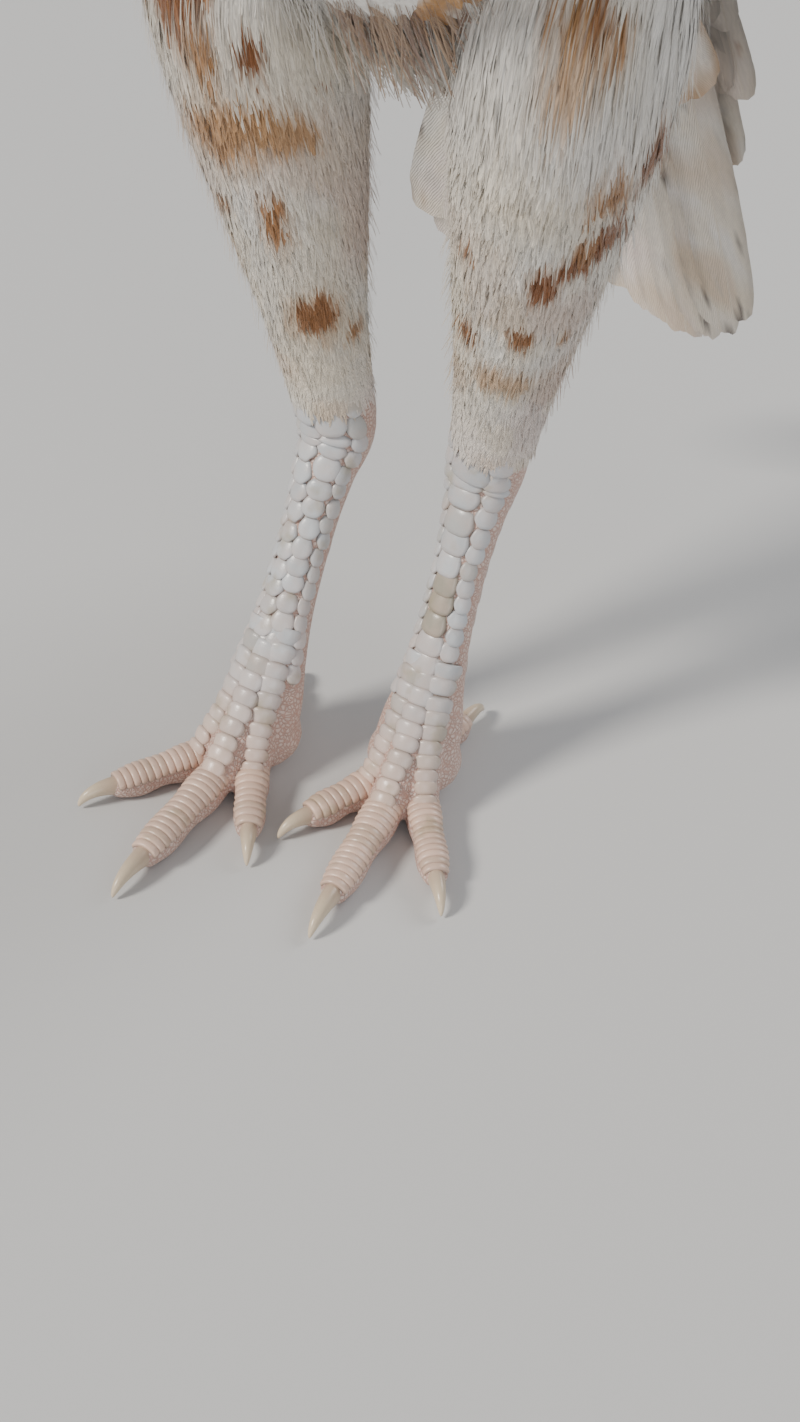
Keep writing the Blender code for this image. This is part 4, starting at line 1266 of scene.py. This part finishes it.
def scutes(hand, letter):
    """The plates down the shank, over the instep and along the toes."""
    plates = Gathered()
    for angle, half, count, start, hexagon in SHANK_COLUMNS[hand]:
        back = angle > 0
        first = 0.0 if back else 0.20
        span = (SHANK_PLATES_TOP - first) / count
        height, overlap = (0.0008, 0.30) if back else (0.0011, 0.60)
        for k in range(count):
            t = first + (k + start + RNG.uniform(-0.10, 0.10)) * span
            wide = half * RNG.uniform(0.92, 1.08)
            turn = sided(angle, hand) + RNG.uniform(-0.06, 0.06)
            rosy = (0.45 if back else 0.05) + 0.15 * (t < 0.45)
            stained = hand > 0 and angle == STAIN[0] and STAIN[1] < t < STAIN[2]
            long = 0.64 * span * RNG.uniform(0.92, 1.08)
            plate = (t, turn, long, wide, height, hexagon, rosy, overlap)
            add_scute(plates, LEGS[hand], (0.0, 0.3), *plate, 0.75 if stained else 0.0)
    for index, toe in enumerate(TOES):
        tube, count, band = toe_tube(hand, toe)[0], toe[6], (0.42 + 0.08 * index, 0.07)
        for k in range(count):
            t = 0.20 + 0.80 * (k + 0.5) / count
            long, wide = 0.80 * 0.60 / count, 1.30 * RNG.uniform(0.96, 1.03)
            plate = (t, math.pi / 2, long, wide, 0.0009, 0.08, 0.85, -0.20)
            add_scute(plates, tube, band, *plate)
    for index, toe in enumerate(TOES[:3]):
        tube, band = instep_tube(hand, toe), (0.75 + 0.08 * index, 0.07)
        for k in range(10):
            wide = 0.90 - 0.013 * k + RNG.uniform(-0.06, 0.06)
            turn = math.pi / 2 + RNG.uniform(-0.10, 0.10)
            t = 0.05 + 0.099 * (k + RNG.uniform(-0.12, 0.12))
            plate = (t, turn, 0.064, wide, 0.0010, 0.30, 0.05 + 0.07 * k, 0.45)
            add_scute(plates, tube, band, *plate)
    plates.piece(f"scutes_{letter}", "scute", "scale")


def shares_of(rings):
    """How far along the loft through rings each of its points is, from 0 to 1."""
    share = np.repeat(np.linspace(0, 1, len(rings)), len(rings[0]))
    return np.append(share, (0.0, 1.0))[:, None]


IVORY, QUICK = np.array((0.72, 0.60, 0.44)), np.array((0.62, 0.40, 0.32))


def claw(hand, letter, toe):
    """A curved claw, its tip on the floor."""
    name, (narrow, length) = toe[0], toe[4:6]
    tube, ahead = toe_tube(hand, toe)
    base = tube.centre[-1] - ahead * 0.0012
    up, side = np.array((0, 0, 1.0)), tube.side[-1]
    turn = circle(20)[:, None]
    keel = 1 - 0.22 * np.clip(-np.sin(turn), 0, 1)
    rings, curl = [], 1.35
    for share in np.linspace(0, 1, 22):
        out = length * math.sin(share * curl) / math.sin(curl)
        rise = 0.0016 * math.sin(math.pi * share) - (base[2] - 0.0008) * share**1.7
        radius = 0.72 * narrow * (1 - share) ** 0.75 + 0.0003
        lean = 1.1 * share
        over = ahead * math.sin(lean) + up * math.cos(lean)
        ring = base + ahead * out + up * rise
        ring = ring + side * (0.8 * radius * np.cos(turn)) + over * (radius * keel * np.sin(turn))
        ring[:, 2] = np.maximum(ring[:, 2], 0.0)
        rings.append(ring)
    share = shares_of(rings)
    tint = IVORY * (0.80 + 0.25 * share) + (QUICK - IVORY) * np.clip(0.4 - share, 0, 1)
    piece = new_mesh(f"claw_horn_{letter}_{name}", *loft(rings), "horn", "horn", tint)
    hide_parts(f"claw_{letter}_{name}")


# Head

# The skull: forward, half width, upper and lower radius
SKULL = (
    (-0.0283, 0.0016, 0.0016, 0.0016),
    (-0.0270, 0.0066, 0.0066, 0.0070),
    (-0.0245, 0.0115, 0.0110, 0.0120),
    (-0.0170, 0.0160, 0.0150, 0.0175),
    (-0.0060, 0.0178, 0.0168, 0.0195),
    (0.0050, 0.0165, 0.0160, 0.0180),
    (0.0130, 0.0130, 0.0132, 0.0150),
    (0.0190, 0.0098, 0.0105, 0.0120),
    (0.0225, 0.0070, 0.0075, 0.0085),
)
HEAD_TUBE = Tube([(s[0], *head_point(s[0], 0.0, 0.0), *s[1:]) for s in SKULL], samples=200)
HEAD_FORWARD = head_point(1.0, 0.0, 0.0) - head_point(0.0, 0.0, 0.0)
HEAD_UP = head_point(0.0, 0.0, 1.0) - head_point(0.0, 0.0, 0.0)
EYE_AHEAD, EYE_SIDE, EYE_HEIGHT = EYE_PLACE


def head_places(points):
    """Points in the head's own terms: forward, to the left, up."""
    gap = points - shifted(HEAD)
    return gap @ HEAD_FORWARD, gap[:, 0], gap @ HEAD_UP


def lump(forward, side, up, radii, *fineness):
    """A rounded body on the head."""
    return ellipsoid(head_point(forward, side, up), HEAD_FORWARD, HEAD_UP, radii, *fineness)


def eyeball_side(forward, up):
    """How far to the side the eyeball reaches at this distance from its middle."""
    return EYE_SIDE + np.sqrt(np.clip(EYE_RADIUS**2 - (forward**2 + up**2), 0, None))


def head_skin():
    """The head with brows and cheeks, sunk round the eyes and at the ears, finely folded."""
    bodies = [loft(tube_rings(HEAD_TUBE, np.linspace(SKULL[0][0], SKULL[-1][0], 44), 40))]
    for hand in (-1, 1):
        brow = (EYE_AHEAD - 0.001, hand * (EYE_SIDE + 0.0012), EYE_HEIGHT + 0.0080)
        bodies.append(lump(*brow, (0.0108, 0.0038, 0.0026)))
        bodies.append(lump(0.010, hand * 0.0085, -0.0085, (0.0090, 0.0050, 0.0055)))
    skin = remeshed("head_skin", bodies, HEAD_VOXEL, 6, 0.0003, "face", "face")
    points = places_of(skin)
    ahead, across, above = head_places(points)
    off = np.hypot(ahead - EYE_AHEAD, (above - EYE_HEIGHT) / 0.85)
    cup = np.sqrt((ahead + 0.0125) ** 2 + (above + 0.0010) ** 2)
    folds = 0.0003 * np.sin(off * 4200) * ramp(off, 0.006, 0.008) * ramp(-off, -0.016, -0.010)
    for hand in (-1, 1):
        outer = hand * across
        flank = outer > 0.004
        inside, sunk = (off < 0.0060) & flank, (cup < 0.0036) & flank
        ball = eyeball_side(off[inside], 0.0) - 0.0010
        points[inside, 0] = hand * np.minimum(outer[inside], ball)
        points[sunk, 0] -= hand * 0.0024 * (1 - (cup[sunk] / 0.0036) ** 2)
        points[flank, 0] += hand * folds[flank]
    move(skin, points)
    paint(skin, ramp(-ahead, 0.015, 0.019)[:, None])
    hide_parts("head")


def ring_body(centres, radii, sides=10):
    """A closed ring of round section through centres, which go once round."""
    heading = unit(np.roll(centres, -1, 0) - np.roll(centres, 1, 0))
    out = centres - centres.mean(0)
    out = unit(out - heading * (out * heading).sum(1)[:, None])
    over = np.cross(heading, out)
    turn = circle(sides)[None, :, None]
    around = out[:, None] * np.cos(turn) + over[:, None] * np.sin(turn)
    points = centres[:, None] + around * radii[:, None, None]
    faces = []
    for i in range(len(centres)):
        for k in range(sides):
            here, there = i * sides, (i + 1) % len(centres) * sides
            after = (k + 1) % sides
            faces += [(here + k, here + after, there + after), (here + k, there + after, there + k)]
    return points.reshape(-1, 3), np.array(faces)


IRIS, IRIS_RIM = np.array((0.78, 0.66, 0.46)), np.array((0.35, 0.12, 0.08))


def eyes_and_lids():
    """Both eyeballs with pupil and iris, and two rings of lids round each."""
    lids = []
    turn = circle(64)
    for hand, letter in SIDES:
        middle = head_point(EYE_AHEAD, hand * EYE_SIDE, EYE_HEIGHT)
        out = np.array((float(hand), 0.0, 0.0))
        points, faces = ellipsoid(middle, out, HEAD_UP, (EYE_RADIUS,) * 3, 48, 40)
        gap = points - middle
        off = np.linalg.norm(gap - np.outer(gap @ out, out), axis=1)
        tint = blend(IRIS, IRIS_RIM, ramp(off, 0.0034, 0.0046))
        tint = np.where(((gap @ out > 0) & (off < 0.0019))[:, None], 0.006, tint)
        eye = new_mesh(f"eyeball_{letter}", points, faces, "eye", "eye", tint)
        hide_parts(f"eye_{letter}")
        for scale, radius, lift in ((0.0050, 0.0009, 0.0001), (0.0062, 0.0008, -0.0004)):
            ahead, above = scale * np.cos(turn), 0.82 * scale * np.sin(turn)
            depth = eyeball_side(ahead, above) + lift
            centres = head_point(EYE_AHEAD + ahead, hand * depth, EYE_HEIGHT + above)
            lids.append(ring_body(centres, radius * (1 + 0.25 * np.sin(turn))))
    new_mesh("lids", *merged(lids), "face", "face")


BILL_LENGTH, BILL_START = 0.026, 0.015
BILL_ROOT, BILL_TIP = np.array((0.62, 0.44, 0.26)), np.array((0.80, 0.70, 0.50))


def bill():
    """Both halves of the bill, the upper one hooked over the lower and pitted at the nostrils."""
    turn = circle(32)
    for name, reach, start_drop, end_drop, width, height, lean in (
        ("upper", BILL_LENGTH, -0.0030, -0.0108, 0.0088, 0.0092, 1),
        ("lower", BILL_LENGTH - 0.0065, -0.0046, -0.0072, 0.0072, 0.0048, -1),
    ):
        rings = []
        for share in np.linspace(0, 1, 30):
            out = BILL_START + reach * math.sin(0.5 * math.pi * share)
            drop = start_drop + (end_drop - start_drop) * share**2.4
            wide = width * (1 - share**1.6) ** 0.8 + 0.0007
            high = height * (1 - share**1.7) ** 0.8 + 0.0010
            rise = np.sin(turn)
            rise = np.where(rise * lean > 0, rise * high, rise * 0.0005)
            ring = head_point(out, wide * np.cos(turn), drop + rise)
            if name == "upper":
                for hand in (-1, 1):
                    nostril = head_point(BILL_START + 0.0085, hand * 0.0078, 0.0012)
                    pit = np.linalg.norm(ring - nostril, axis=1)
                    ring[:, 0] -= hand * 0.0016 * ramp(-pit, -0.0024, -0.0006)
            rings.append(ring)
        tint = BILL_ROOT + (BILL_TIP - BILL_ROOT) * shares_of(rings)
        piece = new_mesh(f"bill_horn_{name}", *loft(rings), "horn", "horn", tint)
        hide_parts(f"bill_{name}")


def comb_lobes_dewlap():
    """The comb's three rows of small lumps on low ridges, the ear lobes and the dewlap."""
    lumps = []
    for side, count, high in ((0.0000, 9, 0.0050), (0.0038, 7, 0.0034), (-0.0038, 7, 0.0034)):
        for k in range(count):
            share = k / (count - 1)
            forward = -0.0055 + 0.0270 * share
            top = 0.0150 - 0.00022 * (forward * 1000 - 2) ** 2 / 10
            size = high * (0.62 + 0.38 * math.sin(math.pi * (0.12 + 0.76 * share)))
            size = size * RNG.uniform(0.9, 1.08)
            across = side * (0.75 + 0.25 * math.sin(math.pi * share))
            across = across + RNG.uniform(-0.0004, 0.0004)
            lumps.append(lump(forward, across, top, (0.0026, 0.0024, size)))
        lumps.append(lump(0.0070, side * 0.95, 0.0128, (0.0135, 0.0024, 0.0030)))
    comb = remeshed("comb_skin", lumps, COMB_VOXEL, 2, 0.0, "comb", "bare")
    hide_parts("comb")
    for hand, letter in SIDES:
        body = lump(-0.0120, hand * 0.0172, -0.0095, (0.0045, 0.0024, 0.0072), 32, 24)
        lobe = new_mesh(f"lobe_{letter}", *body, "comb", "bare")
        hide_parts(f"ear_lobe_{letter}")
    body = lump(0.0158, 0.0, -0.0185, (0.0120, 0.0026, 0.0088), 40, 32)
    flap = new_mesh("dewlap_skin", *body, "comb", "bare")
    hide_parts("dewlap")


def head_coat():
    """Tiny feathers on the crown and behind the ears, flowing back and then down the nape."""
    start = SKULL[0][0]
    t, angle = rows_on(HEAD_TUBE, start + 0.0001, 0.0125, lambda t: 0.0009, lambda t: 0.0011)
    t = np.maximum(t, start + 0.0002)
    up = np.sin(angle)
    front = np.where(up > 0.25, 0.002 + 0.010 * np.abs(up), -0.012)
    keep = t < front + RNG.uniform(-0.001, 0.001, len(t))
    ahead, _, above = head_places(HEAD_TUBE.point(t, angle))
    keep &= np.hypot(ahead - EYE_AHEAD, above - EYE_HEIGHT) > 0.0095
    t, angle = t[keep], angle[keep]
    roots = HEAD_TUBE.point(t, angle)
    normal = np.cross(
        HEAD_TUBE.point(t + 1e-4, angle) - HEAD_TUBE.point(t - 1e-4, angle),
        HEAD_TUBE.point(t, angle + 1e-3) - HEAD_TUBE.point(t, angle - 1e-3),
    )
    normal = unit(normal)
    outward = roots - (shifted(HEAD) - HEAD_FORWARD * 0.004)
    normal *= np.sign((normal * outward).sum(1))[:, None]
    fall = 0.25 + 1.2 * ramp(-t, 0.0, 0.020)
    flow = -HEAD_FORWARD * 0.6 - HEAD_UP * fall[:, None] + RNG.normal(0, 0.08, roots.shape)
    flow = unit(flow - normal * (flow * normal).sum(1)[:, None])
    sideways = np.cross(flow, normal)
    count, shape = len(t), (5, 5)
    u, across, v = blade(*shape, 0.4)
    size = RNG.uniform(0.85, 1.15, count)[:, None]
    reach, half = 0.0058 * size * v, 0.0011 * size * across
    lift = -0.0004 + 0.0016 * v**0.8 - reach**2 / 0.034 - 0.0003 * u**2
    points = roots[:, None] + flow[:, None] * reach[..., None] + sideways[:, None] * half[..., None]
    points = points + normal[:, None] * lift[..., None]
    # Painted shade: each feather darker towards its root, under the feathers over it
    tint = markings(points.mean(1))[:, None] * (0.86 + 0.14 * v)[None, :, None]
    tint = tint * RNG.uniform(0.93, 1.05, count)[:, None, None]
    normals = normal[:, None] + sideways[:, None] * (ROUNDED * u)[None, :, None]
    plumes("feathers_head", points, tint, normals, (HEAD_TUBE, t, angle), u, v, shape)


# Floor, light and camera


def lamp(name, place, power, spread, colour=(1, 1, 1)):
    """A distant soft light, wide as seen from the bird, shining from place towards it."""
    light = bpy.data.lights.new(name, "SUN")
    light.energy, light.angle, light.color = power, spread, colour
    obj = linked(name, light)
    obj.location = place
    obj.rotation_mode = "QUATERNION"
    obj.rotation_quaternion = (-Vector(place)).to_track_quat("-Z", "Y")


def studio():
    """A wide pale floor, three soft lights and a bright sky."""
    mesh = bpy.data.meshes.new("floor")
    edge, depth = 40.0, -0.0005
    corners = [(x * edge, y * edge, depth) for x, y in ((-1, -1), (1, -1), (1, 1), (-1, 1))]
    mesh.from_pydata(corners, [], [(0, 1, 2, 3)])
    mesh.materials.append(Look("floor", 0.85).finish((0.62, 0.62, 0.62, 1)))
    floor = linked("floor", mesh)
    lamp("key", (-0.9, -1.3, 1.25), 3.15, 0.22, (1.0, 0.95, 0.87))
    lamp("fill", (1.2, -1.4, 0.4), 0.75, 0.6, (0.96, 0.98, 1.0))
    lamp("rim", (0.6, 1.5, 1.1), 1.0, 0.5)
    world = bpy.data.worlds.new("sky")
    world.use_nodes = True
    sky = world.node_tree.nodes["Background"]
    sky.inputs[0].default_value = (0.92, 0.95, 1.0, 1)
    sky.inputs[1].default_value = 0.38
    bpy.context.scene.world = world


def camera():
    """From above the bird's left front, with the feet at the photograph's place."""
    feet = Vector((0, CENTRE_Y, FOOT[2]))
    right = Vector((math.cos(CAMERA_TURN), math.sin(CAMERA_TURN), 0))
    away = Vector((right.y, -right.x, 0))
    back = away * math.cos(CAMERA_RISE) + Vector((0, 0, math.sin(CAMERA_RISE)))
    up = back.cross(right)
    across, above = PICTURE[0] / 2 - FEET_PIXEL[0], FEET_PIXEL[1] - PICTURE[1] / 2
    cos, sin = math.cos(CAMERA_ROLL), math.sin(CAMERA_ROLL)
    aim = right * (across * cos - above * sin) + up * (across * sin + above * cos)
    aim = feet + aim * (CAMERA_REACH / FOCAL_PIXELS)
    lens = bpy.data.cameras.new("camera")
    lens.sensor_fit, lens.sensor_height = "VERTICAL", 36
    lens.lens = FOCAL_PIXELS / PICTURE[1] * lens.sensor_height
    lens.clip_start, lens.clip_end = 0.02, 20
    obj = linked("camera", lens)
    obj.location = feet + back * CAMERA_REACH
    obj.rotation_mode = "QUATERNION"
    level = (aim - obj.location).to_track_quat("-Z", "Y")
    obj.rotation_quaternion = level @ Quaternion((0, 0, 1), CAMERA_ROLL)
    bpy.context.scene.camera = obj


body_skin()
body_coat()
belly_coat()
tail_feathers()
for hand, letter in SIDES:
    thigh_coat(hand, letter)
    wing_feathers(hand, letter)
    shoulder_coat(hand, letter)
    foot_skin(hand, letter)
    scutes(hand, letter)
    for toe in TOES:
        claw(hand, letter, toe)
head_skin()
head_coat()
eyes_and_lids()
bill()
comb_lobes_dewlap()
studio()
camera()
